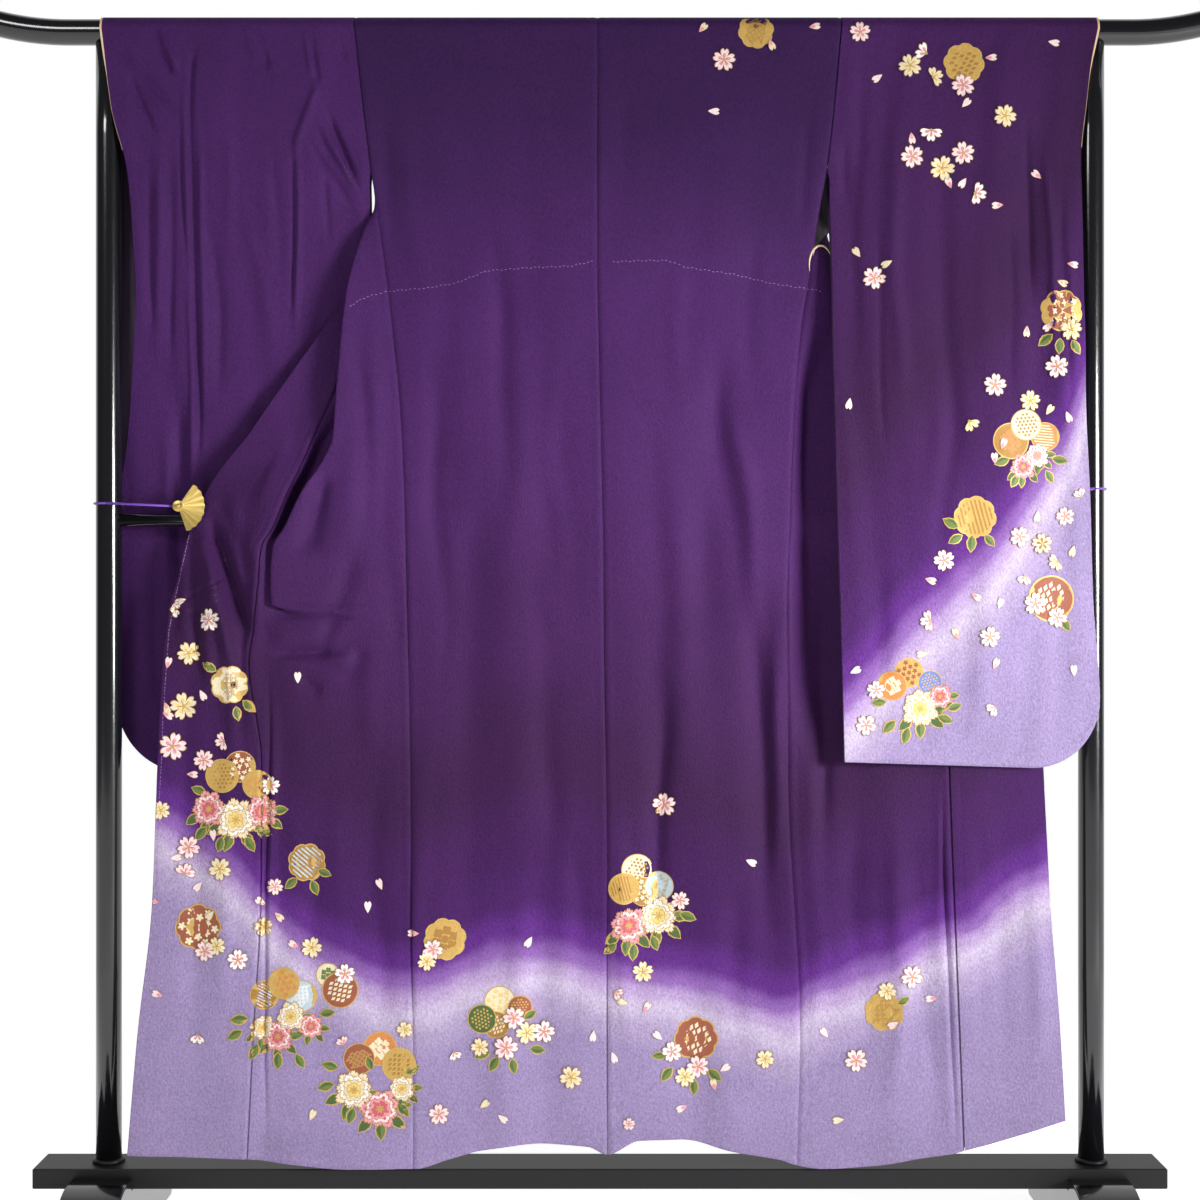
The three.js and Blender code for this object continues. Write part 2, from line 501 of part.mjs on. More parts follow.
// Round bar through a list of [centre x, centre z, radius, tilt of the section].
function roundBar(rings, sides = 20) {
  const positions = [];
  const index = [];
  for (const [x, z, r, tilt] of rings) {
    for (let i = 0; i < sides; i += 1) {
      const a = (i / sides) * 2 * Math.PI;
      const up = r * Math.sin(a);
      positions.push(x - up * Math.sin(tilt), r * Math.cos(a), z + up * Math.cos(tilt));
    }
  }
  for (let k = 0; k < rings.length - 1; k += 1) {
    for (let i = 0; i < sides; i += 1) {
      const a = k * sides + i;
      const b = k * sides + ((i + 1) % sides);
      index.push(a, b, b + sides, a, b + sides, a + sides);
    }
  }
  const last = (rings.length - 1) * sides;
  const first = positions.length / 3;
  for (const [x, z] of [rings[0], rings[rings.length - 1]]) positions.push(x, 0, z);
  for (let i = 0; i < sides; i += 1) {
    index.push(first, (i + 1) % sides, i, first + 1, last + i, last + (i + 1) % sides);
  }
  const geometry = solidFrom(positions, index);
  return volume(geometry) > 0 ? geometry : flipped(positions, index);
}
// Top rod: straight, with both ends swept up on a wide arc and rounded at the tips.
function topRod() {
  const stations = [[ROD_HALF, 0.72], [ROD_HALF - 4, 0.93], [ROD_HALF - 12, 1], [890, 1], [850, 1], [810, 1],
    [TURN_UP_AT, 1]];
  const half = stations.map(([x, scale]) => {
    const run = x - TURN_UP_AT;
    return [x, ROD_Z + run ** 2 / (2 * TURN_UP_R), ROD_R * scale, Math.atan(run / TURN_UP_R)];
  });
  const mirrored = half.map(([x, z, r, tilt]) => [-x, z, r, -tilt]);
  return roundBar([...mirrored, ...half.reverse()]);
}
add('top_rod', topRod(), LACQUER, 0.25);

const postCylinder = (x, r, low, high, sides = 24) =>
  toManifold(laidAlong(new THREE.CylinderGeometry(r, r, high - low, sides), 'z', x, 0, (low + high) / 2));
const seatRadius = ROD_R + SEAM;
const seat = new THREE.CylinderGeometry(seatRadius, seatRadius, 2 * TURN_UP_AT, 48);
const rodCutter = toManifold(laidAlong(seat, 'x', 0, 0, ROD_Z));
// Half outline of a foot from the tip over the top to the bar: [depth, height].
const FOOT_TOP = [[FOOT_REACH - 5, 0], [FOOT_REACH, 10], [FOOT_REACH - 14, 30], [130, 62], [84, 88], [62, 99],
  [52, 101.5]];
// Half outline of its arched underside from the middle outwards.
const FOOT_ARCH = [[38, 36], [64, 28], [82, 15], [92, 0]];
const mirrorY = (points) => points.map(([y, z]) => [-y, z]);
for (const [side, sign] of [['left', -1], ['right', 1]]) {
  const x = sign * POST_X;
  const post = postCylinder(x, POST_R, BAR_TOP + SEAM, ROD_Z - 1).subtract(rodCutter);
  add(`${side}_post`, fromManifold(post), LACQUER, 0.25);
  const ring = postCylinder(x, SOCKET_R, BAR_TOP + SEAM, BAR_TOP + SEAM + SOCKET_H)
    .subtract(postCylinder(x, POST_R + SEAM, BAR_TOP - 5, BAR_TOP + 20, 36));
  add(`${side}_socket`, fromManifold(ring), SATIN, 0.5);
  // Foot: an arched block front to back, let into the underside of the bar.
  const profile = [...mirrorY(FOOT_TOP), ...[...FOOT_TOP].reverse(), ...[...FOOT_ARCH].reverse(),
    ...mirrorY(FOOT_ARCH)];
  const shape = new THREE.Shape(profile.map(([y, z]) => new THREE.Vector2(y, z)));
  const block = new THREE.ExtrudeGeometry(shape, { depth: FOOT_WIDE, bevelEnabled: false });
  // the profile's x becomes Y, its y becomes Z and the depth becomes X
  block.applyMatrix4(new THREE.Matrix4().set(0, 0, 1, x - FOOT_WIDE / 2, 1, 0, 0, 0, 0, 1, 0, 0, 0, 0, 0, 1));
  const housing = new THREE.BoxGeometry(FOOT_WIDE + 20, BAR_DEPTH + 2 * SEAM, 60);
  housing.translate(x, 0, BAR_LOW - SEAM + 30);
  add(`${side}_foot`, fromManifold(toManifold(block).subtract(toManifold(housing))), LACQUER, 0.3);
}

// Middle rail: a thin round rail whose ends are cut to the posts.
function middleRail() {
  const reach = POST_X + 10;
  const round = new THREE.CylinderGeometry(RAIL_R, RAIL_R, 2 * reach, 20);
  let rail = toManifold(laidAlong(round, 'x', 0, 0, RAIL_Z));
  for (const sign of [-1, 1]) {
    rail = rail.subtract(postCylinder(sign * POST_X, POST_R + SEAM, RAIL_Z - 60, RAIL_Z + 60, 48));
    const past = new THREE.BoxGeometry(60, 80, 80).translate(sign * (POST_X + 36), 0, RAIL_Z);
    rail = rail.subtract(toManifold(past));
  }
  return fromManifold(rail);
}
add('mid_rail', middleRail(), LACQUER, 0.25);

// Base bar: a flat bar with its long edges taken off.
function baseBar() {
  const chamfer = 2;
  const half = BAR_DEPTH / 2;
  const corners = [[-half, BAR_LOW + chamfer], [-half, BAR_TOP - chamfer], [-half + chamfer, BAR_TOP],
    [half - chamfer, BAR_TOP], [half, BAR_TOP - chamfer], [half, BAR_LOW + chamfer], [half - chamfer, BAR_LOW],
    [-half + chamfer, BAR_LOW]];
  const bar = new THREE.Shape(corners.map(([y, z]) => new THREE.Vector2(y, z)));
  const beam = new THREE.ExtrudeGeometry(bar, { depth: 2 * BAR_HALF, bevelEnabled: false });
  beam.applyMatrix4(new THREE.Matrix4().set(0, 0, 1, -BAR_HALF, 1, 0, 0, 0, 0, 1, 0, 0, 0, 0, 0, 1));
  return fromManifold(toManifold(beam));
}
add('base_bar', baseBar(), SATIN, 0.45);

// Clips and cords.
const FAN_R = 39;
const FAN_IN = 7;
const FAN_RIBS = 8;
const FAN_Y = -25.5;          // depth of the fan's face
const FAN_THICK = 1.4;
const FAN_FOLD = 1.2;         // height of a pleat
const FAN_FROM = -1.24;       // lower and upper edge of the fan, in radians
const FAN_TO = 0.95;
const PIVOT_R = 3.2;
const PIVOT_LONG = 15;
const HUB_R = 8;
const JAW = [46, 1.6, 10];    // length, thickness and height of the plate behind the cloth
const JAW_Y = 13;             // its place behind the fan's face
const KNOT_R = 2.4;
for (const [side, px, pz, loopZ] of CLIPS) {
  const inward = side === 'left' ? 1 : -1;
  // Fan: a pleated sector that opens towards the cloth.
  const positions = [];
  const index = [];
  const ribs = FAN_RIBS * 2;
  for (let i = 0; i <= ribs; i += 1) {
    const a = mix(FAN_FROM, FAN_TO, i / ribs);
    const fold = i % 2 ? -FAN_FOLD : 0;
    const reach = FAN_R - (i % 2 ? 0 : FAN_FOLD);
    for (const behind of [0, FAN_THICK]) {
      for (const [r, share] of [[FAN_IN, 0.3], [reach, 1]]) {
        positions.push(px + inward * r * Math.cos(a), FAN_Y + fold * share + behind, pz + r * Math.sin(a));
      }
    }
  }
  for (let i = 0; i < ribs; i += 1) {
    const a = 4 * i;
    const b = a + 4;
    index.push(a, a + 1, b + 1, a, b + 1, b, a + 2, b + 3, a + 3, a + 2, b + 2, b + 3);
    index.push(a + 1, a + 3, b + 3, a + 1, b + 3, b + 1, a, b + 2, a + 2, a, b, b + 2);
  }
  const end = 4 * ribs;
  index.push(0, 2, 3, 0, 3, 1, end, end + 1, end + 3, end, end + 3, end + 2);
  const unfolded = solidFrom(positions, index);
  const leaf = volume(unfolded) < 0 ? flipped(positions, index) : unfolded;
  const pivotY = FAN_Y - FAN_FOLD + PIVOT_LONG / 2;
  const pivot = laidAlong(new THREE.CylinderGeometry(PIVOT_R, PIVOT_R, PIVOT_LONG, 10), 'y', px, pivotY, pz);
  const hubY = FAN_Y + FAN_THICK / 2;
  const hub = laidAlong(new THREE.CylinderGeometry(HUB_R, HUB_R, FAN_THICK, 14), 'y', px, hubY, pz);
  const jaw = new THREE.BoxGeometry(...JAW).translate(px + inward * JAW[0] / 2, FAN_Y + JAW_Y, pz);
  const clip = [pivot, hub, jaw].reduce((sum, piece) => sum.add(toManifold(piece)), toManifold(leaf));
  add(`${side}_fan_clip`, fromManifold(clip), GOLD, 0.35, 0.9);
  // Cord: a ring round the post and a straight run to the pivot.
  const ringR = POST_R + SEAM + CORD_R;
  const outward = -inward;
  const ring = new THREE.TorusGeometry(ringR, CORD_R, 6, 28).translate(outward * POST_X, 0, loopZ);
  const from = new THREE.Vector3(outward * POST_X, -ringR, loopZ);
  const to = new THREE.Vector3(px + outward * (PIVOT_R + SEAM + KNOT_R), -ringR + 0.4, pz);
  const round = new THREE.Shape(spread(6).slice(0, 6).map((t) => new THREE.Vector2(
    CORD_R * Math.cos(2 * Math.PI * t), CORD_R * Math.sin(2 * Math.PI * t))));
  const path = new THREE.LineCurve3(from, to);
  const run = new THREE.ExtrudeGeometry(round, { steps: 1, extrudePath: path, bevelEnabled: false });
  const knot = new THREE.SphereGeometry(KNOT_R, 8, 6).translate(to.x, to.y, to.z);
  const cord = toManifold(ring).add(toManifold(run)).add(toManifold(knot));
  add(`${side}_cord`, fromManifold(cord), VIOLET, 0.7);
}

export default group;
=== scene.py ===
import math
import bpy
import bmesh
import numpy as np
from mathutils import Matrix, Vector
from mathutils.bvhtree import BVHTree


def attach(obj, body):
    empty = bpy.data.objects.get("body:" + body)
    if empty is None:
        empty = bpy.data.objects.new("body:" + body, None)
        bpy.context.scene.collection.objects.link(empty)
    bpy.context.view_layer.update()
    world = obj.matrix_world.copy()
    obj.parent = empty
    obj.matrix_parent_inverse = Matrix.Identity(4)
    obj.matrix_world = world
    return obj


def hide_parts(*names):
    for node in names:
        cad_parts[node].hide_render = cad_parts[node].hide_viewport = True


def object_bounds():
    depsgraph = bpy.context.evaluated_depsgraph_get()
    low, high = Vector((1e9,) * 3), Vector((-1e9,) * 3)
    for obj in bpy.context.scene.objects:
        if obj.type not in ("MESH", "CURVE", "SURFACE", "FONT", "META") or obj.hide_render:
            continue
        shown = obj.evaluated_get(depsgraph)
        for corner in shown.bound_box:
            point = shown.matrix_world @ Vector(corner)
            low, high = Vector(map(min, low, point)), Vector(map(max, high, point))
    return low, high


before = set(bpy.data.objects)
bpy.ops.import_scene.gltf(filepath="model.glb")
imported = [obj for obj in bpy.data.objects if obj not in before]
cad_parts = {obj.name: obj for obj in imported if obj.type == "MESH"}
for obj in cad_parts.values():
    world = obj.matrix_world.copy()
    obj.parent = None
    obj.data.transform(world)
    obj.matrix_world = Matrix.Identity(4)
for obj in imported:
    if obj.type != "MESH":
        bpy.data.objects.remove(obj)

cad_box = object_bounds()
cad_box = [[float(v) for v in corner] for corner in cad_box]


# Stand: a black lacquered wooden garment stand. Two turned posts are let into a long base
# bar on cross feet, a thin rail joins them, and a round rod with upturned ends lies on top.
# Each piece is brushed with many coats of lacquer and polished; the bar keeps a satin finish.
MM = 0.001
ROD_RADIUS = 18.5
ROD_HEIGHT = 1751.0
ROD_REACH = 930.0
ROD_TURN_UP_AT = 770.0
ROD_TURN_UP_RADIUS = 417.0
POST_PLACE = 712.0
RAIL_RADIUS = 9.7
RAIL_HEIGHT = 1044.0
BAR_REACH = 812.0
BAR_DEPTH = 74.0
BAR_BOTTOM = 85.5
BAR_TOP = 114.5


def add_object(name, data):
    thing = bpy.data.objects.new(name, data)
    bpy.context.scene.collection.objects.link(thing)
    return thing


def make_piece(name, points, faces, smooth=True):
    mesh = bpy.data.meshes.new(name)
    mesh.from_pydata([tuple(p) for p in points], [], [tuple(f) for f in faces])
    mesh.validate()
    mesh.polygons.foreach_set("use_smooth", [smooth] * len(mesh.polygons))
    return add_object(name, mesh)


def swept_bar(name, stations, sides=64):
    """stations: list of (centre, radius, tangent) in millimetres along the bar."""
    points = []
    for centre, radius, tangent in stations:
        along = Vector(tangent).normalized()
        across = Vector((0, 1, 0)) if abs(along.y) < 0.9 else Vector((1, 0, 0))
        up = along.cross(across).normalized()
        across = up.cross(along).normalized()
        for i in range(sides):
            a = 2 * math.pi * i / sides
            p = Vector(centre) + radius * (math.cos(a) * across + math.sin(a) * up)
            points.append(p * MM)
    faces = []
    for k in range(len(stations) - 1):
        for i in range(sides):
            a = k * sides + i
            b = k * sides + (i + 1) % sides
            faces.append((a, b, b + sides, a + sides))
    faces.append(tuple(range(sides))[::-1])
    last = (len(stations) - 1) * sides
    faces.append(tuple(range(last, last + sides)))
    bar = make_piece(name, points, faces)
    straighten_normals(bar)
    return bar


def straighten_normals(piece):
    work = bmesh.new()
    work.from_mesh(piece.data)
    bmesh.ops.recalc_face_normals(work, faces=work.faces)
    work.to_mesh(piece.data)
    work.free()


def set_inputs(node, **values):
    """Values of a node's inputs by name; a low line stands for a space."""
    for name, value in values.items():
        node.inputs[name.replace("_", " ")].default_value = value


def add_node(nodes, kind, operation=None, second=None, **values):
    """A shader node with its operation, its second input, and inputs set by name."""
    node = nodes.new("ShaderNode" + kind)
    if operation is not None:
        node.operation = operation
    if second is not None:
        node.inputs[1].default_value = second
    set_inputs(node, **values)
    return node


def new_group(name, takes, gives):
    """A shader group with number sockets: itself, its nodes, its links, its two end nodes."""
    group = bpy.data.node_groups.new(name, "ShaderNodeTree")
    for way, sockets in (("INPUT", takes), ("OUTPUT", gives)):
        for socket in sockets:
            group.interface.new_socket(name=socket, in_out=way, socket_type="NodeSocketFloat")
    nodes = group.nodes
    return group, nodes, group.links, nodes.new("NodeGroupInput"), nodes.new("NodeGroupOutput")


def new_material(name):
    """A material with nodes: itself, its nodes, its links and its surface shader."""
    material = bpy.data.materials.new(name)
    material.use_nodes = True
    nodes = material.node_tree.nodes
    return material, nodes, material.node_tree.links, nodes["Principled BSDF"]


def add_relief(nodes, links, shader, height, strength, distance):
    bump = add_node(nodes, "Bump", Strength=strength, Distance=distance)
    links.new(height, bump.inputs["Height"])
    links.new(bump.outputs["Normal"], shader.inputs["Normal"])


def grain_group():
    """Slow waviness and fine dust of brushed lacquer: a height and a roughness mask."""
    group, nodes, links, given, result = new_group("brushed lacquer", ["Scale"], ["Height", "Dust"])
    place = add_node(nodes, "TexCoord")
    stretch = add_node(nodes, "VectorMath", "MULTIPLY", (0.5, 1.0, 0.35))
    wave = add_node(nodes, "TexNoise", Detail=2.0)
    dust = add_node(nodes, "TexNoise", Scale=900.0, Detail=3.0)
    links.new(place.outputs["Object"], stretch.inputs[0])
    links.new(stretch.outputs["Vector"], wave.inputs["Vector"])
    links.new(given.outputs["Scale"], wave.inputs["Scale"])
    links.new(place.outputs["Object"], dust.inputs["Vector"])
    links.new(wave.outputs["Fac"], result.inputs["Height"])
    links.new(dust.outputs["Fac"], result.inputs["Dust"])
    return group


LACQUER_GRAIN = grain_group()


def lacquer_finish(name, colour, rough_low, rough_high, scale, coat):
    material, nodes, links, shader = new_material(name)
    grain = nodes.new("ShaderNodeGroup")
    grain.node_tree = LACQUER_GRAIN
    set_inputs(grain, Scale=scale)
    set_inputs(shader, Base_Color=(*colour, 1), Coat_Weight=coat, Coat_Roughness=0.08)
    spread = add_node(nodes, "MapRange", From_Min=0.3, From_Max=0.75, To_Min=rough_low, To_Max=rough_high)
    links.new(grain.outputs["Dust"], spread.inputs["Value"])
    links.new(spread.outputs["Result"], shader.inputs["Roughness"])
    add_relief(nodes, links, shader, grain.outputs["Height"], 0.12, 0.002)
    return material


GLOSS_LACQUER = lacquer_finish("gloss lacquer", (0.006, 0.006, 0.008), 0.12, 0.24, 14.0, 0.6)
SATIN_LACQUER = lacquer_finish("satin lacquer", (0.006, 0.006, 0.007), 0.42, 0.58, 20.0, 0.0)
set_inputs(SATIN_LACQUER.node_tree.nodes["Principled BSDF"], Specular_IOR_Level=0.34)


def finish_rigid(piece, material, nodes):
    piece.data.materials.append(material)
    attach(piece, "root")
    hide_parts(*nodes)


# Top rod: a straight round bar whose last quarter metre on each side sweeps gently up
# and ends in a softly rounded tip.
rod_sizes = [(ROD_REACH, 0.55), (ROD_REACH - 1, 0.75), (ROD_REACH - 4, 0.9), (ROD_REACH - 9, 0.975)]
rod_sizes += [(reach, 1) for reach in (914, 900, 885, 870, 855, 840, 825, 810, 795, 780, ROD_TURN_UP_AT)]
rod_stations = []
for side in (-1, 1):
    half = []
    for reach, size in rod_sizes:
        run = max(0.0, reach - ROD_TURN_UP_AT)
        centre = (side * reach, 0, ROD_HEIGHT + run * run / (2 * ROD_TURN_UP_RADIUS))
        half.append((centre, ROD_RADIUS * size, (1, 0, side * run / ROD_TURN_UP_RADIUS)))
    rod_stations += half if side < 0 else half[::-1]
top_rod = swept_bar("lacquered_top_rod", rod_stations)
finish_rigid(top_rod, GLOSS_LACQUER, ["top_rod"])

# Posts and their socket rings: straight round bars that stand on the base bar inside a thin
# dark ring, their flat tops reaching just into the rod.
RING_PROFILE = ((0.3, 23.0), (3.5, 23.0), (5.4, 22.2), (6.2, 20.4), (6.2, 18.7))
for side, sign in (("left", -1), ("right", 1)):
    x = sign * POST_PLACE
    stations = []
    for z in (BAR_TOP + 0.3, 400, 800, 1200, 1600, ROD_HEIGHT - ROD_RADIUS + 0.5):
        stations.append(((x, 0, z), ROD_RADIUS, (0, 0, 1)))
    post = swept_bar(f"{side}_lacquered_post", stations)
    finish_rigid(post, GLOSS_LACQUER, [f"{side}_post"])
    ring = swept_bar(f"{side}_socket_ring", [((x, 0, BAR_TOP + z), r, (0, 0, 1)) for z, r in RING_PROFILE])
    finish_rigid(ring, SATIN_LACQUER, [f"{side}_socket"])

# Middle rail: a thin round bar of the same lacquered wood between the posts. Its ends are
# let a little way into them.
rail_end = POST_PLACE - ROD_RADIUS + 1.5
rail = swept_bar("lacquered_mid_rail", [((x, 0, RAIL_HEIGHT), RAIL_RADIUS, (1, 0, 0))
                                        for x in (-rail_end, -350, 0, 350, rail_end)])
finish_rigid(rail, GLOSS_LACQUER, ["mid_rail"])


def block_from_outline(name, outline, low, high):
    """outline in millimetres, run out along X; closed, with eased edges."""
    points = []
    for x in (low, high):
        for y, z in outline:
            points.append((x * MM, y * MM, z * MM))
    n = len(outline)
    faces = [tuple(range(n)), tuple(range(2 * n - 1, n - 1, -1))]
    for i in range(n):
        faces.append((i, (i + 1) % n, n + (i + 1) % n, n + i))
    block = make_piece(name, points, faces, smooth=False)
    straighten_normals(block)
    ease = block.modifiers.new("eased edges", "BEVEL")
    ease.width = 0.0022
    ease.segments = 3
    ease.limit_method = "ANGLE"
    ease.angle_limit = math.radians(35)
    block.data.polygons.foreach_set("use_smooth", [True] * len(block.data.polygons))
    soften = block.modifiers.new("even shading", "WEIGHTED_NORMAL")
    soften.keep_sharp = True
    return block


# Base bar: a long flat board of lacquered wood that lies in both feet and carries the posts.
# Its long edges are eased with a plane before the lacquer goes on.
bar_half = BAR_DEPTH / 2
bar = block_from_outline("satin_base_bar", ((-bar_half, BAR_BOTTOM), (bar_half, BAR_BOTTOM),
                                            (bar_half, BAR_TOP), (-bar_half, BAR_TOP)),
                         -BAR_REACH, BAR_REACH)
finish_rigid(bar, SATIN_LACQUER, ["base_bar"])

# Cross feet: arched blocks front to back under each post, housed over the bar, with the
# top swept down to both tips.
FOOT_WIDTH = 86.0
FOOT_REACH = 205.0
FOOT_FLAT = 60.0
FOOT_TIP_HEIGHT = 30.0
FOOT_HEIGHT = 100.0
ARCH_REACH = 92.0
ARCH_HEIGHT = 36.0
HOUSING_TOP = 101.0
HOUSING_ROOM = 0.4


def foot_outline():
    top = []
    for i in range(15):
        t = i / 14
        y = FOOT_FLAT + t * (FOOT_REACH - FOOT_FLAT)
        rise = (0.5 + 0.5 * math.cos(math.pi * t)) ** 0.9
        top.append((y, FOOT_TIP_HEIGHT + (FOOT_HEIGHT - FOOT_TIP_HEIGHT) * rise))
    tip = [(FOOT_REACH, 12), (FOOT_REACH - 4, 2), (FOOT_REACH - 7, 0)]
    arch = [(ARCH_REACH, 0)]
    for i in range(1, 12):
        a = math.pi * i / 12
        arch.append((ARCH_REACH * math.cos(a), ARCH_HEIGHT * math.sin(a) ** 0.8))
    arch.append((-ARCH_REACH, 0))
    other_tip = [(-y, z) for y, z in tip[::-1]]
    other_top = [(-y, z) for y, z in top[::-1]]
    edge, low = bar_half + HOUSING_ROOM, BAR_BOTTOM - HOUSING_ROOM
    housing = [(-edge, HOUSING_TOP), (-edge, low), (edge, low), (edge, HOUSING_TOP)]
    return arch + other_tip + other_top + housing + top + tip


for side, sign in (("left", -1), ("right", 1)):
    low = sign * POST_PLACE - FOOT_WIDTH / 2
    foot = block_from_outline(f"{side}_lacquered_foot", foot_outline(), low, low + FOOT_WIDTH)
    finish_rigid(foot, GLOSS_LACQUER, [f"{side}_foot"])


# Body of the furisode: two back widths, two fronts, two overlap widths and the collar, cut
# from narrow silk crepe and joined with straight seams. It hangs over the rod with its back
# to the viewer and its fronts opened out at the side seams, so the outside shows all round.
# Rows of the tables are sections at one height, in millimetres.
CLOTH = 1.6
WRAP = ROD_RADIUS + 0.55 + CLOTH / 2
SEAM = 0.3
TOWARD_VIEWER = (0, -1, 0)
# height, then x and depth of: side seam, outer fold, back fold, middle, overlap seam,
# collar seam, free edge
LEFT_FRONT = np.array([
    [1751, -354, WRAP, -311, WRAP, -268, WRAP, -223, WRAP, -177, WRAP, -129, WRAP, -80, WRAP],
    [1630, -341, 21.5, -325, 28, -306, 36, -283, 42, -257, 44, -224, 42, -185, 36],
    [1555, -332, 15, -324, 22, -311, 32, -295, 40, -281, 44, -261, 44, -233, 39],
    [1498, -322, -10, -326, 0, -314, 18, -304, 31, -295, 38, -287, 43, -277, 46],
    [1470, -318, -11, -338, -9, -314, 10, -304, 22, -300, 31, -298, 38, -296, 45],
    [1441, -315, -12, -347, -17, -318, 1, -303, 12, -302, 20, -307, 27, -316, 27],
    [1408, -310, -13, -356, -22, -318, -5, -301, 4, -306, 13, -321, 14, -338, 9],
    [1374, -306, -15, -363, -27, -318, -8, -301, 4, -318, 13, -338, 12, -362, 6],
    [1301, -297, -17, -371, -35, -327, -14, -322, 0, -352, 2, -380, 0, -415, -3],
    [1213, -288, -20, -377, -42, -338, -22, -352, -5, -389, -12, -431, -10, -476, -9],
    [1160, -285, -22, -380, -48, -340, -22, -396, -8, -412, -22, -458, -18, -512, -13],
    [1128, -283, -24, -393, -51, -350, -24, -410, -12, -425, -30, -475, -22, -538, -16],
    [1083, -281, -26, -423, -55, -370, -28, -434, -20, -445, -40, -503, -29, -568, -15],
    [1028, -279, -28, -449, -58, -395, -32, -458, -34, -467, -48, -522, -36, -590, -20],
    [1005, -278, -29, -463, -58, -408, -34, -470, -46, -480, -52, -530, -39, -597, -27],
    [960, -276, -31, -467, -57, -430, -38, -474, -48, -484, -53, -535, -41, -606, -30],
    [922, -275, -32, -466, -57, -449, -44, -478, -49, -488, -52, -540, -41, -616, -34],
    [913, -275, -32, -436, -55, -451, -46, -477, -49, -489, -51, -541, -41, -617, -34],
    [904, -275, -32, -392, -49, -451, -47, -477, -48, -490, -50, -542, -41, -618, -35],
    [892, -275, -32, -378, -45, -450, -47, -476, -47, -491, -49, -544, -41, -619, -36],
    [839, -275, -34, -376, -43, -444, -46, -475, -42, -499, -45, -552, -42, -624, -40],
    [697, -271, -38, -364, -41, -420, -45, -461, -43, -481, -46, -552, -44, -631, -42],
    [497, -268, -42, -363, -45, -420, -48, -463, -45, -482, -48, -558, -46, -638, -45],
    [313, -266, -45, -363, -48, -427, -50, -473, -48, -492, -50, -572, -48, -658, -47],
    [100, -265, -47, -362, -51, -429, -53, -485, -50, -502, -52, -583, -50, -676, -48]])
RIGHT_FRONT = np.array([
    [1751, 348, WRAP, 305, WRAP, 262, WRAP, 218, WRAP, 174, WRAP, 129, WRAP, 80, WRAP],
    [1637, 339, 21.5, 325, 28, 306, 36, 284, 42, 260, 44, 227, 42, 185, 36],
    [1560, 332, 19, 325, 26, 312, 34, 296, 43, 278, 47, 256, 46, 232, 39],
    [1507, 336, 18, 326, 26, 319, 31, 307, 40, 297, 46, 286, 51, 272, 54],
    [1470, 337, 10, 331, 14, 327, 18, 318, 31, 309, 42, 305, 52, 304, 62],
    [1440, 322, -3, 328, 2, 336, 11, 329, 25, 319, 38, 320, 48, 328, 57],
    [1416, 305, -10, 327, -6, 343, 8, 336, 22, 324, 34, 328, 44, 343, 48],
    [1354, 294, -13, 335, -8, 363, 6, 351, 20, 346, 30, 365, 36, 388, 32],
    [1221, 281, -19, 308, 0, 376, -26, 362, 0, 390, 8, 433, 8, 479, 4],
    [1089, 274, -26, 302, -8, 388, -40, 380, -20, 432, -18, 504, -18, 581, -16],
    [1040, 273, -28, 303, -14, 398, -40, 398, -22, 452, -20, 524, -20, 598, -18],
    [989, 272, -30, 304, -8, 411, -42, 419, -27, 474, -27, 545, -26, 615, -24],
    [903, 269, -32, 304, -8, 411, -42, 440, -37, 492, -38, 558, -36, 624, -34],
    [817, 268, -34, 306, -12, 406, -43, 457, -42, 496, -44, 563, -42, 627, -40],
    [682, 269, -38, 340, -36, 406, -44, 471, -43, 499, -46, 567, -44, 633, -42],
    [504, 277, -42, 350, -42, 413, -47, 473, -46, 505, -48, 570, -46, 641, -45],
    [319, 285, -45, 356, -45, 420, -50, 481, -48, 512, -50, 581, -48, 655, -47],
    [106, 280, -47, 356, -48, 419, -52, 489, -50, 520, -52, 590, -50, 667, -48]])
# height, centre x, depth, left side x, depth, right side x, depth
BACK = np.array([
    [1751, -4, -WRAP, -354, -WRAP, 348, -WRAP], [1633, -3, -21, -341, -17.5, 337, -19],
    [1548, -3, -22, -331, -11, 327, -16], [1491, -3, -23, -322, -10, 317, -13],
    [1405, -3, -25, -310, -13.5, 305, -10], [1301, -1, -27, -297, -17, 288, -15],
    [1215, 0, -28, -288, -20, 281, -19], [1086, 3, -30, -281, -26, 274, -26],
    [899, 6, -34, -275, -33, 269, -32], [678, 9, -38, -271, -38, 269, -38],
    [315, 11, -44, -266, -45, 285, -45], [102, 11, -47, -265, -47, 280, -47]])
# side, place from centre to side seam, half width, depth, top, bottom of the broad folds
BACK_FOLDS = (
    (-1, 0.24, 0.09, 6, 1330, 900), (-1, 0.70, 0.10, 5, 1150, 300), (-1, 0.48, 0.12, -5, 1250, 500),
    (1, 0.28, 0.08, 5, 900, 350), (1, 0.55, 0.11, 7, 1280, 820), (1, 0.86, 0.09, 8, 1000, 380),
    (1, 0.42, 0.10, -5, 1150, 600), (-1, 0.33, 0.10, 6, 620, 60), (1, 0.45, 0.12, 6, 520, 60))
HEM = np.array([
    [-675, 137], [-584, 135], [-502, 133], [-441, 126], [-356, 118], [-265, 118], [-213, 132],
    [-167, 144], [-88, 153], [-17, 149], [10, 138], [57, 158], [112, 159], [189, 142], [256, 131],
    [280, 123], [316, 118], [387, 123], [450, 133], [501, 140], [521, 146], [593, 165], [666, 187]])
NOMINAL_HEM, HEM_MIDDLE, HEM_FADE = 100, 140.0, 260.0
OKUMI_TIP, OKUMI_FULL = 1374.0, 1225.0
COLLAR_END_INNER, COLLAR_END_OUTER = 960.0, 915.0
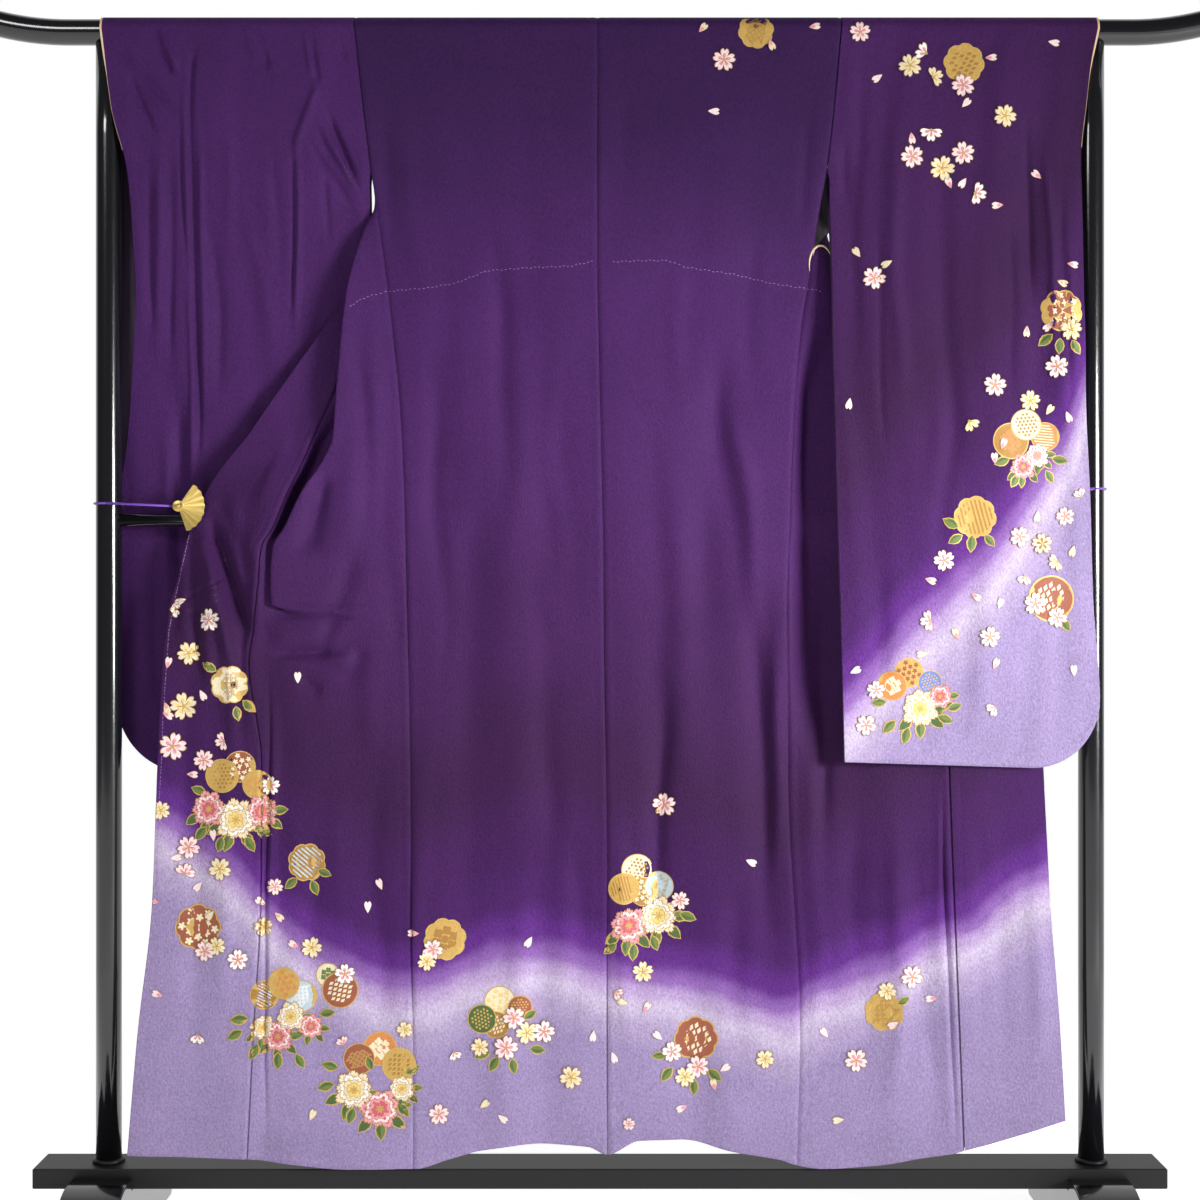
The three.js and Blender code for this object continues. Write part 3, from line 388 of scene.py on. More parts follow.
# side: sign of x, table of the front, column of the back's side seam, height of the armhole's end
SIDES = {"left": (-1, LEFT_FRONT, 3, 1498.0), "right": (1, RIGHT_FRONT, 5, 1416.0)}


def smooth_at(table, at, column):
    """Rounded interpolation of one column of a table without overshoot."""
    rows = table if table[0, 0] < table[-1, 0] else table[::-1]
    x, y = rows[:, 0], rows[:, column]
    rise = np.diff(y) / np.diff(x)
    slope = np.empty(len(x))
    slope[0], slope[-1] = rise[0], rise[-1]
    product = rise[:-1] * rise[1:]
    total = rise[:-1] + rise[1:]
    slope[1:-1] = np.where(product > 0, 2 * product / np.where(total == 0, 1, total), 0)
    at = np.clip(at, x[0], x[-1])
    k = np.clip(np.searchsorted(x, at, side="right") - 1, 0, len(x) - 2)
    span = x[k + 1] - x[k]
    t = (at - x[k]) / span
    return ((2 * t**3 - 3 * t**2 + 1) * y[k] + (t**3 - 2 * t**2 + t) * span * slope[k]
            + (3 * t**2 - 2 * t**3) * y[k + 1] + (t**3 - t**2) * span * slope[k + 1])


def ease_in(t):
    t = np.clip(t, 0, 1)
    return t * t * (3 - 2 * t)


def wrapped(x, y, height, sign):
    """Points above the rod's centre follow its round."""
    angle = np.clip((height - ROD_HEIGHT) / WRAP, 0, math.pi / 2)
    over = height > ROD_HEIGHT
    y = np.where(over, sign * WRAP * np.cos(angle), y)
    z = np.where(over, ROD_HEIGHT + WRAP * np.sin(angle), height)
    return np.stack([x, y, z], axis=-1)


def back_surface(side, u, height):
    sign, _, column, _ = SIDES[side]
    low = np.minimum(height, ROD_HEIGHT)
    x = smooth_at(BACK, low, 1) * (1 - u) + smooth_at(BACK, low, column) * u
    y = smooth_at(BACK, low, 2) * (1 - u) + smooth_at(BACK, low, column + 1) * u
    for fold_side, place, half, depth, top, bottom in BACK_FOLDS:
        if fold_side == sign:
            y = y + (depth * np.exp(-((u - place) / half) ** 2) * ease_in((top - height) / 160)
                     * ease_in((height - bottom) / 160) * ease_in(u / 0.12) * ease_in((1 - u) / 0.12))
    return wrapped(x, y, height, -1)


def curve_through(p0, p1, p2, p3, t):
    def knot(a, b):
        return np.maximum(1e-3, np.sqrt(np.hypot(b[..., 0] - a[..., 0], b[..., 1] - a[..., 1])))

    def join(a, b, low, high, s):
        share = ((s - low) / (high - low))[..., None]
        return a * (1 - share) + b * share

    k0 = np.zeros(t.shape)
    k1 = knot(p0, p1)
    k2 = k1 + knot(p1, p2)
    k3 = k2 + knot(p2, p3)
    s = k1 + (k2 - k1) * t
    a1, a2, a3 = join(p0, p1, k0, k1, s), join(p1, p2, k1, k2, s), join(p2, p3, k2, k3, s)
    return join(join(a1, a2, k0, k2, s), join(a2, a3, k1, k3, s), k1, k2, s)


def front_surface(side, q, height):
    """q 1 side seam, 2 overlap seam, 3 collar seam, 4 free edge."""
    _, table, _, armhole = SIDES[side]
    low = np.minimum(height, ROD_HEIGHT)
    stops = []
    for i in range(7):
        stops.append(np.stack([smooth_at(table, low, 1 + 2 * i), smooth_at(table, low, 2 + 2 * i)], -1))
    ones = np.ones(q.shape)
    seam = back_surface(side, ones, low)[..., :2]
    away = ease_in((low - armhole) / 60)[..., None]
    stops[0] = seam * (1 - away) + stops[0] * away
    near = back_surface(side, 0.93 * ones, low)[..., :2]
    before = np.where((height <= armhole)[..., None], near, 2 * stops[0] - stops[1])
    stops = [before] + stops + [2 * stops[6] - stops[5]]
    stack = np.stack(stops, axis=0)
    along = np.clip(np.where(q <= 2, (q - 1) * 4, q + 2), 0, 5.9999)
    k = np.floor(along).astype(int)
    index = np.indices(k.shape)
    p = [stack[(k + i, *index)] for i in range(4)]
    xy = curve_through(p[0], p[1], p[2], p[3], along - k)
    return wrapped(xy[..., 0], xy[..., 1], height, 1)


def body_surface(side, q, height):
    back = back_surface(side, np.minimum(q, 1), height)
    front = front_surface(side, np.maximum(q, 1), height)
    return np.where((q <= 1)[..., None], back, front)


def overlap_seam(height):
    return 3 - ease_in((OKUMI_TIP - height) / (OKUMI_TIP - OKUMI_FULL))


def collar_seam(height):
    return 3 + np.clip((COLLAR_END_INNER - height) / (COLLAR_END_INNER - COLLAR_END_OUTER), 0, 1)


# Creases and soft folds: x and height at the top, x and height at the bottom,
# half width, depth (away from the viewer when positive). They are troughs and ridges of
# uneven length, as the cloth took them from folding and from its own weight.
BACK_CREASES = (
    (-152, 1500, -138, 980, 16, 2.2), (-66, 1320, -58, 940, 15, -2.6), (-78, 1040, -80, 500, 18, 2.4),
    (-236, 1330, -226, 700, 14, 2.0), (-196, 1420, -206, 900, 20, -1.8), (-250, 800, -262, 300, 14, -1.8),
    (88, 860, 78, 430, 12, 3.0), (62, 1250, 96, 800, 18, 1.8), (146, 1320, 224, 900, 18, 3.2),
    (176, 1260, 252, 760, 14, -2.4), (208, 950, 262, 480, 13, 3.4), (246, 900, 258, 420, 10, -2.6),
    (118, 1440, 108, 1150, 16, -1.6), (28, 700, 40, 260, 14, -2.2), (-32, 620, -46, 220, 16, 2.2),
    (200, 560, 180, 200, 18, 2.4), (-118, 520, -128, 160, 18, -2.4), (230, 1490, 212, 1180, 14, 1.8),
    (300, 1640, 292, 1450, 9, 1.4), (-320, 1660, -300, 1400, 10, 1.6), (-286, 1690, -250, 1330, 14, -1.2),
    (40, 1700, 36, 1500, 12, 1.0), (-120, 1720, -112, 1560, 12, 1.0), (150, 1725, 160, 1560, 12, -1.0))
# Pressed lines left by the folded storage of the garment: height, half width, depth.
STORAGE_LINES = ((1287, 3.5, 0.8), (1092, 4.0, 0.4), (910, 3.5, 0.8), (652, 4.0, 0.5), (430, 4.0, 0.4))
FRONT_CREASES = (
    (-352, 1330, -330, 980, 12, 2.4), (-330, 1400, -312, 1080, 12, -2.0), (-310, 1200, -300, 800, 12, 2.2),
    (-330, 860, -372, 800, 14, 3.0), (-396, 860, -352, 832, 12, -3.4), (-430, 820, -392, 800, 10, 2.4),
    (-318, 760, -312, 260, 16, 2.0), (-368, 700, -360, 200, 18, -2.2), (-410, 640, -414, 180, 16, 1.8),
    (-344, 900, -318, 700, 16, -2.0), (-484, 908, -330, 902, 3.4, 3.2), (-480, 886, -360, 886, 16, -2.6),
    (-478, 850, -352, 856, 8, 4.4),
    (-402, 838, -340, 1010, 12, 5.0), (-430, 1000, -404, 1100, 12, -2.0), (-394, 1130, -412, 980, 9, 2.4),
    (-576, 1062, -490, 870, 11, 8.6), (-592, 1056, -570, 790, 8, 5.2), (-574, 1060, -516, 810, 8, -6.4),
    (-540, 1090, -476, 950, 12, -3.0),
    (-548, 960, -520, 720, 10, -3.4), (-512, 930, -504, 690, 9, 3.8), (-600, 1030, -536, 1010, 5, 2.0),
    (-378, 1110, -436, 985, 13, 5.0), (-330, 1180, -372, 960, 22, -4.0),
    (-520, 1080, -500, 860, 11, 3.0), (-556, 1000, -546, 780, 12, -3.0), (-590, 900, -598, 500, 14, 2.2),
    (-520, 860, -536, 300, 14, -2.0), (-562, 700, -590, 200, 16, 1.8), (-470, 1250, -428, 1080, 12, 1.6),
    (-440, 1180, -500, 1060, 10, -1.6), (-548, 1080, -516, 1010, 8, 2.2), (-604, 1000, -612, 860, 9, 2.0),
    (300, 1300, 290, 900, 9, 2.2), (322, 1000, 326, 560, 10, 3.0), (300, 760, 306, 260, 12, -2.0),
    (368, 660, 372, 200, 16, 2.4), (420, 660, 424, 160, 15, -2.2), (456, 620, 470, 160, 12, 1.8),
    (487, 680, 506, 110, 3.2, 2.4), (480, 690, 497, 110, 7, -1.0), (-471, 870, -478, 110, 3.2, 2.4),
    (-466, 890, -471, 110, 7, -1.0), (560, 660, 580, 220, 16, 2.0), (610, 660, 634, 240, 14, -2.0),
    (534, 640, 548, 200, 12, 1.6))


def crease_depth(points, creases):
    depth = np.zeros(points.shape[:-1])
    x, z = points[..., 0], points[..., 2]
    for x0, z0, x1, z1, half, amount in creases:
        length = math.hypot(x1 - x0, z1 - z0)
        ax, az = (x1 - x0) / length, (z1 - z0) / length
        along = (x - x0) * ax + (z - z0) * az
        # the line of each crease wanders a little
        wander = 0.45 * half * np.sin(along / 95.0 + x0) + 0.25 * half * np.sin(along / 41.0 + z0)
        off = (x - x0) * az - (z - z0) * ax + wander
        t = along / length
        start = 1.0 if z0 > ROD_HEIGHT - 20 else ease_in(t / 0.3)
        fade = start * (t > -0.1) * ease_in((1 - t) / 0.3)
        swell = 0.8 + 0.3 * np.sin(along / 130.0 + 2 * x1)
        depth += 2.3 * amount * np.exp(-(off / half) ** 2) * fade * swell
    return depth


def soft_ripple(points, seed, size, amount):
    """Faint, irregular slackness of a hanging width, stretched along the warp."""
    x, z = points[..., 0] / size, points[..., 2] / (4.5 * size)
    return amount * (np.sin(2.1 * x + 1.3 * np.sin(1.7 * z + seed) + seed)
                     + 0.6 * np.sin(3.7 * x - 2.2 * np.sin(0.9 * z + 2 * seed) + 1.7 * seed)
                     + 0.4 * np.sin(5.9 * x + 3.1 * np.sin(1.3 * z - seed)))


def face_normals(grid):
    across = np.gradient(grid, axis=1)
    down = np.gradient(grid, axis=0)
    n = np.cross(across, down)
    n /= np.maximum(np.linalg.norm(n, axis=-1, keepdims=True), 1e-9)
    return n


EDGE_PLACES = (0.0, 0.9, 2.2, 4.5, 8.0)


def edge_dense(count, width):
    """Places 0..1 across a width in millimetres, close together beside both edges."""
    inner = np.linspace(EDGE_PLACES[-1] / width, 1 - EDGE_PLACES[-1] / width, count)[1:-1]
    first = np.array(EDGE_PLACES) / width
    return np.concatenate([first, inner, 1 - first[::-1]])


def cloth_shell(name, middle, outward, materials, thickness=CLOTH, hem_tone=0):
    """A closed shell on a grid of points: crepe outside, lining inside, rounded rims."""
    normals = face_normals(middle)
    probe = middle.shape[0] // 3, middle.shape[1] // 2
    if np.dot(normals[probe], outward) < 0:
        normals = -normals
    outer = middle + normals * thickness / 2
    inner = middle - normals * thickness / 2
    rows, columns = middle.shape[:2]
    count = rows * columns
    points = np.concatenate([outer.reshape(-1, 3), inner.reshape(-1, 3)]) * MM
    j, i = np.meshgrid(np.arange(rows - 1), np.arange(columns - 1), indexing="ij")
    a = (j * columns + i).ravel()
    outside = np.stack([a, a + 1, a + 1 + columns, a + columns], -1)
    inside = outside[:, ::-1] + count
    top = np.arange(columns - 1)
    low = top + (rows - 1) * columns
    left = np.arange(rows - 1) * columns
    right = left + columns - 1
    rims = np.concatenate([
        np.stack([top, top + count, top + 1 + count, top + 1], -1),
        np.stack([low, low + 1, low + 1 + count, low + count], -1),
        np.stack([left, left + columns, left + columns + count, left + count], -1),
        np.stack([right, right + count, right + columns + count, right + columns], -1)])
    faces = np.concatenate([outside, inside, rims])
    mesh = bpy.data.meshes.new(name)
    mesh.vertices.add(len(points))
    mesh.vertices.foreach_set("co", points.ravel())
    mesh.loops.add(4 * len(faces))
    mesh.loops.foreach_set("vertex_index", faces.ravel().astype(np.int32))
    mesh.polygons.add(len(faces))
    mesh.polygons.foreach_set("loop_start", np.arange(0, 4 * len(faces), 4, dtype=np.int32))
    for material in materials:
        mesh.materials.append(material)
    which = np.concatenate([np.zeros(len(outside)), np.ones(len(inside)), np.full(len(top), hem_tone),
                            np.zeros(len(rims) - len(top))]).astype(np.int32)
    mesh.polygons.foreach_set("material_index", which)
    mesh.update(calc_edges=True)
    mesh.validate()
    mesh.polygons.foreach_set("use_smooth", np.ones(len(faces), dtype=bool))
    piece = add_object(name, mesh)
    straighten_normals(piece)
    return piece


def crepe_group():
    """Pebbled grain of silk crepe: a height, and a mottle for its colour that follows the height:
    painted shade in the pits and painted light on the tops, over a slow cloud of uneven tone.
    """
    group, nodes, links, given, result = new_group("crepe grain", ["Pebble Size"], ["Height", "Mottle And Shade"])
    place = add_node(nodes, "TexCoord")
    scale = add_node(nodes, "Math", "DIVIDE")
    scale.inputs[0].default_value = 1.0
    pebble = add_node(nodes, "TexNoise", Detail=2.5, Roughness=0.6, Distortion=0.6)
    squash = add_node(nodes, "VectorMath", "MULTIPLY", (1.25, 1.0, 0.85))
    cloud = add_node(nodes, "TexNoise", Scale=9.0, Detail=3.0)
    soften = add_node(nodes, "Math", "MULTIPLY", 0.5)
    mix = add_node(nodes, "Math", "MULTIPLY_ADD", 1.6)
    links.new(given.outputs["Pebble Size"], scale.inputs[1])
    links.new(place.outputs["Object"], squash.inputs[0])
    links.new(squash.outputs["Vector"], pebble.inputs["Vector"])
    links.new(scale.outputs["Value"], pebble.inputs["Scale"])
    links.new(place.outputs["Object"], cloud.inputs["Vector"])
    links.new(cloud.outputs["Fac"], soften.inputs[0])
    links.new(pebble.outputs["Fac"], mix.inputs[0])
    links.new(soften.outputs["Value"], mix.inputs[2])
    links.new(pebble.outputs["Fac"], result.inputs["Height"])
    links.new(mix.outputs["Value"], result.inputs["Mottle And Shade"])
    return group


CREPE_GRAIN = crepe_group()
# Where the dark dye ends, by x: the pale part lies below it. Body and right sleeve.
BODY_FADE = ((-680, 640), (-640, 622), (-583, 588), (-508, 532), (-450, 466), (-361, 408), (-275, 378),
             (-188, 404), (-144, 424), (-72, 428), (0, 406), (72, 392), (144, 378), (216, 357), (278, 343),
             (290, 362), (356, 393), (428, 421), (485, 450), (523, 464), (572, 500), (640, 542), (690, 570))
SLEEVE_FADE = ((330, 765), (380, 815), (430, 880), (483, 930), (533, 975), (575, 1025), (610, 1075),
               (645, 1130), (675, 1190), (695, 1245), (720, 1300))
FADE_SPAN = 720.0
FADE_LIFT = 15.0
PEBBLE_SIZE = 0.0032


def dye_group(name, fade, breadth):
    """Height above the edge of the dark dye, in metres, with the edge's own unevenness."""
    group, nodes, links, _, result = new_group(name, [], ["Above"])
    place = add_node(nodes, "TexCoord")
    split = add_node(nodes, "SeparateXYZ")
    share = add_node(nodes, "MapRange", From_Min=-FADE_SPAN * MM, From_Max=FADE_SPAN * MM)
    edge = add_node(nodes, "FloatCurve")
    curve = edge.mapping.curves[0]
    low, high = min(z for _, z in fade), max(z for _, z in fade)
    for n, (x, z) in enumerate(fade):
        spot = ((x + FADE_SPAN) / (2 * FADE_SPAN), (z - low) / (high - low))
        if n < 2:
            curve.points[n].location = spot
        else:
            curve.points.new(*spot)
    edge.mapping.update()
    lift = add_node(nodes, "MapRange", To_Min=(low + FADE_LIFT) * MM, To_Max=(high + FADE_LIFT) * MM)
    gap = add_node(nodes, "Math", "SUBTRACT")
    blot = add_node(nodes, "TexNoise", Scale=14.0, Detail=3.0)
    uneven = add_node(nodes, "Math", "MULTIPLY_ADD", 0.030)
    broad = add_node(nodes, "Math", "DIVIDE", breadth)
    links.new(place.outputs["Object"], split.inputs["Vector"])
    links.new(split.outputs["X"], share.inputs["Value"])
    links.new(share.outputs["Result"], edge.inputs["Value"])
    links.new(edge.outputs["Value"], lift.inputs["Value"])
    links.new(split.outputs["Z"], gap.inputs[0])
    links.new(lift.outputs["Result"], gap.inputs[1])
    links.new(place.outputs["Object"], blot.inputs["Vector"])
    links.new(blot.outputs["Fac"], uneven.inputs[0])
    links.new(gap.outputs["Value"], uneven.inputs[2])
    links.new(uneven.outputs["Value"], broad.inputs[0])
    links.new(broad.outputs["Value"], result.inputs["Above"])
    return group


# Dye colours from the pale part up: lavender, pale glow, bright purple, dark purple. Above the
# bright purple the dark purple first deepens, comes back to its full tone towards mid height and
# deepens again at the garment's top: painted shade where less of the lamps' light falls.
LAVENDER = (0.275, 0.212, 0.380)
GLOW = (0.450, 0.375, 0.515)
BRIGHT_PURPLE = (0.090, 0.020, 0.176)
DARK_PURPLE = (0.050, 0.0122, 0.086)
DYE_AND_PAINTED_SHADE_STEPS = ((-0.100, LAVENDER), (-0.070, (0.335, 0.262, 0.42)), (-0.038, GLOW),
             (-0.020, (0.37, 0.265, 0.46)), (0.000, (0.205, 0.095, 0.320)), (0.024, BRIGHT_PURPLE),
             (0.066, (0.050, 0.0108, 0.090)), (0.130, (0.043, 0.0094, 0.071)),
             (0.230, (0.033, 0.0077, 0.047)), (0.420, (0.042, 0.0099, 0.066)),
             (0.620, (0.050, 0.0122, 0.083)), (0.850, DARK_PURPLE), (1.100, (0.031, 0.0084, 0.057)))
DYE_SPAN = 1.3


def crepe_grained(nodes, links, low, high):
    """The crepe's grain, and a mix whose colour A its mottle darkens and lightens: painted shade in
    the grain's pits, painted light on its tops.
    """
    grain = nodes.new("ShaderNodeGroup")
    grain.node_tree = CREPE_GRAIN
    set_inputs(grain, Pebble_Size=PEBBLE_SIZE)
    shade = add_node(nodes, "MapRange", From_Min=0.75, From_Max=1.35, To_Min=low, To_Max=high)
    mixed = nodes.new("ShaderNodeMix")
    mixed.data_type = "RGBA"
    mixed.blend_type = "MULTIPLY"
    mixed.inputs["Factor"].default_value = 1.0
    links.new(grain.outputs["Mottle And Shade"], shade.inputs["Value"])
    links.new(shade.outputs["Result"], mixed.inputs["B"])
    return grain, mixed


def crepe_finish(name, dye):
    material, nodes, links, shader = new_material(name)
    grain, colour = crepe_grained(nodes, links, 0.78, 1.20)
    if dye is None:
        colour.inputs["A"].default_value = (*DARK_PURPLE, 1)
    else:
        above = nodes.new("ShaderNodeGroup")
        above.node_tree = dye
        lowest = DYE_AND_PAINTED_SHADE_STEPS[0][0]
        place = add_node(nodes, "MapRange", From_Min=lowest, From_Max=lowest + DYE_SPAN)
        steps = add_node(nodes, "ValToRGB")
        steps.color_ramp.interpolation = "EASE"
        for n, (at, shade) in enumerate(DYE_AND_PAINTED_SHADE_STEPS):
            spot = (at - lowest) / DYE_SPAN
            stop = steps.color_ramp.elements[n] if n < 2 else steps.color_ramp.elements.new(spot)
            stop.position = spot
            stop.color = (*shade, 1)
        links.new(above.outputs["Above"], place.inputs["Value"])
        links.new(place.outputs["Result"], steps.inputs["Fac"])
        links.new(steps.outputs["Color"], colour.inputs["A"])
    links.new(colour.outputs["Result"], shader.inputs["Base Color"])
    add_relief(nodes, links, shader, grain.outputs["Height"], 0.8, 0.0018)
    set_inputs(shader, Roughness=0.62, Specular_IOR_Level=0.1, Sheen_Weight=0.05, Sheen_Roughness=0.45,
               Sheen_Tint=(0.72, 0.55, 1.0, 1))
    return material


def lining_finish(name, colour):
    material, nodes, links, shader = new_material(name)
    set_inputs(shader, Base_Color=(*colour, 1), Roughness=0.5, Sheen_Weight=0.15)
    threads = add_node(nodes, "TexNoise", Scale=1400.0)
    add_relief(nodes, links, shader, threads.outputs["Fac"], 0.2, 0.0004)
    return material


BODY_CREPE = crepe_finish("purple crepe with pale hem", dye_group("body dye edge", BODY_FADE, 1.15))
SLEEVE_CREPE = crepe_finish("purple crepe with pale sleeve end",
                            dye_group("sleeve dye edge", SLEEVE_FADE, 1.5))
PLAIN_CREPE = crepe_finish("plain purple crepe", None)
LINING = lining_finish("cream silk lining", (0.74, 0.52, 0.32))
# The body's inner faces are near black: painted shade for the dark inside of the garment.
INNER_LINING_IN_PAINTED_SHADE = lining_finish("inner lining in painted shade", (0.045, 0.028, 0.050))
# The sleeves' inner faces are a purple facing like the crepe, made darker than it as painted shade, so the
# far layer's inside shows near black.
SHADED_SLEEVE_FACING = lining_finish("purple sleeve facing in painted shade", (0.030, 0.010, 0.045))


def hemmed(side, q, nominal, lift=0):
    """True heights for nominal ones, which spread down to the hem's own curve below HEM_FADE."""
    at_hem = body_surface(side, q, np.full(q.shape, HEM_MIDDLE))
    hem = smooth_at(HEM, at_hem[..., 0], 1) + lift
    near_hem = hem + (HEM_FADE - hem) * (nominal - NOMINAL_HEM) / (HEM_FADE - NOMINAL_HEM)
    return np.where(nominal < HEM_FADE, near_hem, nominal)


def body_grid(side, low_seam, high_seam, heights, across):
    """Grid of the body surface between two seams, each kept back by half the seam's gap."""
    nominal = heights[:, None] * np.ones((1, len(across)))
    below_rod = np.minimum(nominal, 1750)

    def half_gap(q, step, share=1.0):
        near = body_surface(side, q + step, below_rod)
        speed = np.linalg.norm(near - body_surface(side, q + 2 * step, below_rod), axis=-1) / abs(step)
        return share * SEAM / 2 / np.maximum(speed, 20)

    start, stop = low_seam(nominal), high_seam(nominal)
    close = 1.0 if low_seam is not overlap_seam else 0.2
    start, stop = start + half_gap(start, 0.01), stop - half_gap(stop, -0.01, close)
    q = start + (stop - start) * across[None, :]
    return body_surface(side, q, hemmed(side, q, nominal))


SEAM_REACH = 2.8


def seam_dip(grid, depth=1.8, sides=(True, True)):
    """Widths pull in a little along each seam: a narrow groove at the edges."""
    length = np.linalg.norm(np.diff(grid, axis=1), axis=-1)
    run = np.concatenate([np.zeros((grid.shape[0], 1)), np.cumsum(length, axis=1)], axis=1)
    total = run[:, -1:]
    dip = np.zeros(run.shape)
    if sides[0]:
        dip += depth * np.exp(-(run / SEAM_REACH) ** 2) + 0.45 * np.exp(-((run - 13) / 2.4) ** 2)
    if sides[1]:
        dip += depth * np.exp(-((total - run) / SEAM_REACH) ** 2)
    return dip


def front_dip(grid, step):
    """The front's side seam is a groove; at the overlap seam its edge is laid over or under."""
    below_point = ease_in((OKUMI_TIP - grid[..., 2]) / 60)
    return seam_dip(grid, sides=(True, False)) + below_point * seam_dip(grid, step, sides=(False, True))


def moved_back(grid, depth):
    """The grid moved straight away from the viewer, or toward them where depth is negative."""
    away = np.zeros(grid.shape)
    away[..., 1] = depth
    return grid + away


def storage_depth(grid):
    z = grid[..., 2]
    return sum(amount * np.exp(-((z - at) / half) ** 2) for at, half, amount in STORAGE_LINES)


ROW_STEP = 8.0


def nominal_rows(low, high, over_rod=True):
    count = max(1, round((high - low) / ROW_STEP))
    rows = [low + i * (high - low) / count for i in range(count + 1)]
    if over_rod:
        top = ROD_HEIGHT + WRAP * math.pi / 2 - SEAM / 2
        rows += [high + (top - high) * i / 12 for i in range(1, 13)]
    return np.array(rows)


def shaped(grid, creases, seed, dip, ripple=0.8):
    """Adds creases, slackness and seam grooves, straight away from or toward the viewer."""
    hang = ease_in((ROD_HEIGHT - 30 - grid[..., 2]) / 160)
    slackness = soft_ripple(grid, seed, 62.0, ripple)
    depth = (crease_depth(grid, creases) + slackness + storage_depth(grid)) * hang + dip
    return moved_back(grid, depth)


def one(value):
    return lambda height: np.full(height.shape, float(value))


def allowance(name, grid, finish):
    """A thin strip behind a seam."""
    strip = cloth_shell(name, grid, TOWARD_VIEWER, [finish, INNER_LINING_IN_PAINTED_SHADE], 0.8)
    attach(strip, "root")
    return strip


SLACK = {"left": 2.0, "right": 5.0}
POCKET_ROWS = np.arange(842.0, 1010.0, ROW_STEP)
LAID_UNDER, LAID_OVER = 3.3, 0.2
COLLAR_LOW, COLLAR_SLANT = 961.6, 1030.0
cloth_pieces = {}
for side in ("left", "right"):
    # Back width: straight from the rod to the hem.
    rows = nominal_rows(NOMINAL_HEM, ROD_HEIGHT)
    grid = body_grid(side, one(0), one(1), rows, edge_dense(70, 330.0))
    grid = shaped(grid, BACK_CREASES, 1.0 if side == "left" else 4.0, seam_dip(grid))
    back = cloth_shell(f"{side}_back_width", grid, TOWARD_VIEWER, [BODY_CREPE, INNER_LINING_IN_PAINTED_SHADE])
    cloth_pieces[f"{side}_back"] = back
    # Front width: comes over the rod behind, swings round the side seam and opens outwards.
    rows = np.sort(np.concatenate([rows, POCKET_ROWS]))
    grid = body_grid(side, one(1), overlap_seam, rows, edge_dense(110, 420.0))
    low_step, high_step = (LAID_OVER, LAID_UNDER) if side == "left" else (LAID_UNDER, LAID_OVER)
    grid = shaped(grid, FRONT_CREASES, SLACK[side], front_dip(grid, low_step), 0.6)
    front = cloth_shell(f"{side}_front_width", grid, TOWARD_VIEWER, [BODY_CREPE, INNER_LINING_IN_PAINTED_SHADE, LINING],
                        hem_tone=2)
    cloth_pieces[f"{side}_front"] = front
    # Overlap width: the narrow outer width of the front, from its point down to the hem.
    rows = np.sort(np.concatenate([nominal_rows(NOMINAL_HEM, 1340, over_rod=False), POCKET_ROWS]))
    grid = body_grid(side, overlap_seam, collar_seam, rows, edge_dense(38, 140.0))
    grid = shaped(grid, FRONT_CREASES, SLACK[side], seam_dip(grid, high_step, sides=(True, False)), 0.6)
    okumi = cloth_shell(f"{side}_overlap_width", grid, TOWARD_VIEWER, [BODY_CREPE, INNER_LINING_IN_PAINTED_SHADE])
    cloth_pieces[f"{side}_okumi"] = okumi
    # Collar: a folded band from the back of the neck down to its slanting end.
    across = edge_dense(26, 60.0)
    nominal = nominal_rows(COLLAR_LOW, ROD_HEIGHT)[:, None] * np.ones((1, len(across)))
    foot = COLLAR_END_INNER + (COLLAR_END_OUTER - COLLAR_END_INNER) * across[None, :] + 0.2
    slanted = foot + (COLLAR_SLANT - foot) * (nominal - COLLAR_LOW) / (COLLAR_SLANT - COLLAR_LOW)
    height = np.where(nominal < COLLAR_SLANT, slanted, nominal)
    grid = body_surface(side, 3.001 + 0.995 * across[None, :] * np.ones(height.shape), height)
    grid = shaped(grid, FRONT_CREASES, SLACK[side], 0 * height, 0.6)
    collar = cloth_shell(f"{side}_collar_band", grid, TOWARD_VIEWER, [BODY_CREPE, INNER_LINING_IN_PAINTED_SHADE])
    cloth_pieces[f"{side}_collar"] = collar

# Seam allowances: behind each long seam both edges of the cloth are turned back and lie flat
# together, sewn along the seam and pressed to one side.
seam_backings = {"left_back": [], "right_back": [], "left_front": [], "right_front": []}


def seam_backing(name, side, seam, low, high, creases, slack):
    nominal = nominal_rows(low, high, over_rod=False)[:, None] * np.ones((1, 5))
    across = np.array([-6.0, -3.0, 0.0, 3.0, 6.0])[None, :]
    middle = seam(nominal)
    step = 0.01
    beside = body_surface(side, middle + step, nominal) - body_surface(side, middle, nominal)
    q = middle + across / np.maximum(np.linalg.norm(beside, axis=-1) / step, 20)
    grid = shaped(body_surface(side, q, hemmed(side, q, nominal, 3)), creases, slack, 5.4, 0.6)
    # the strips take the near-black painted-shade colour of the inner lining, so each seam's fine gap shows
    # dark
    return allowance(name, grid, INNER_LINING_IN_PAINTED_SHADE)


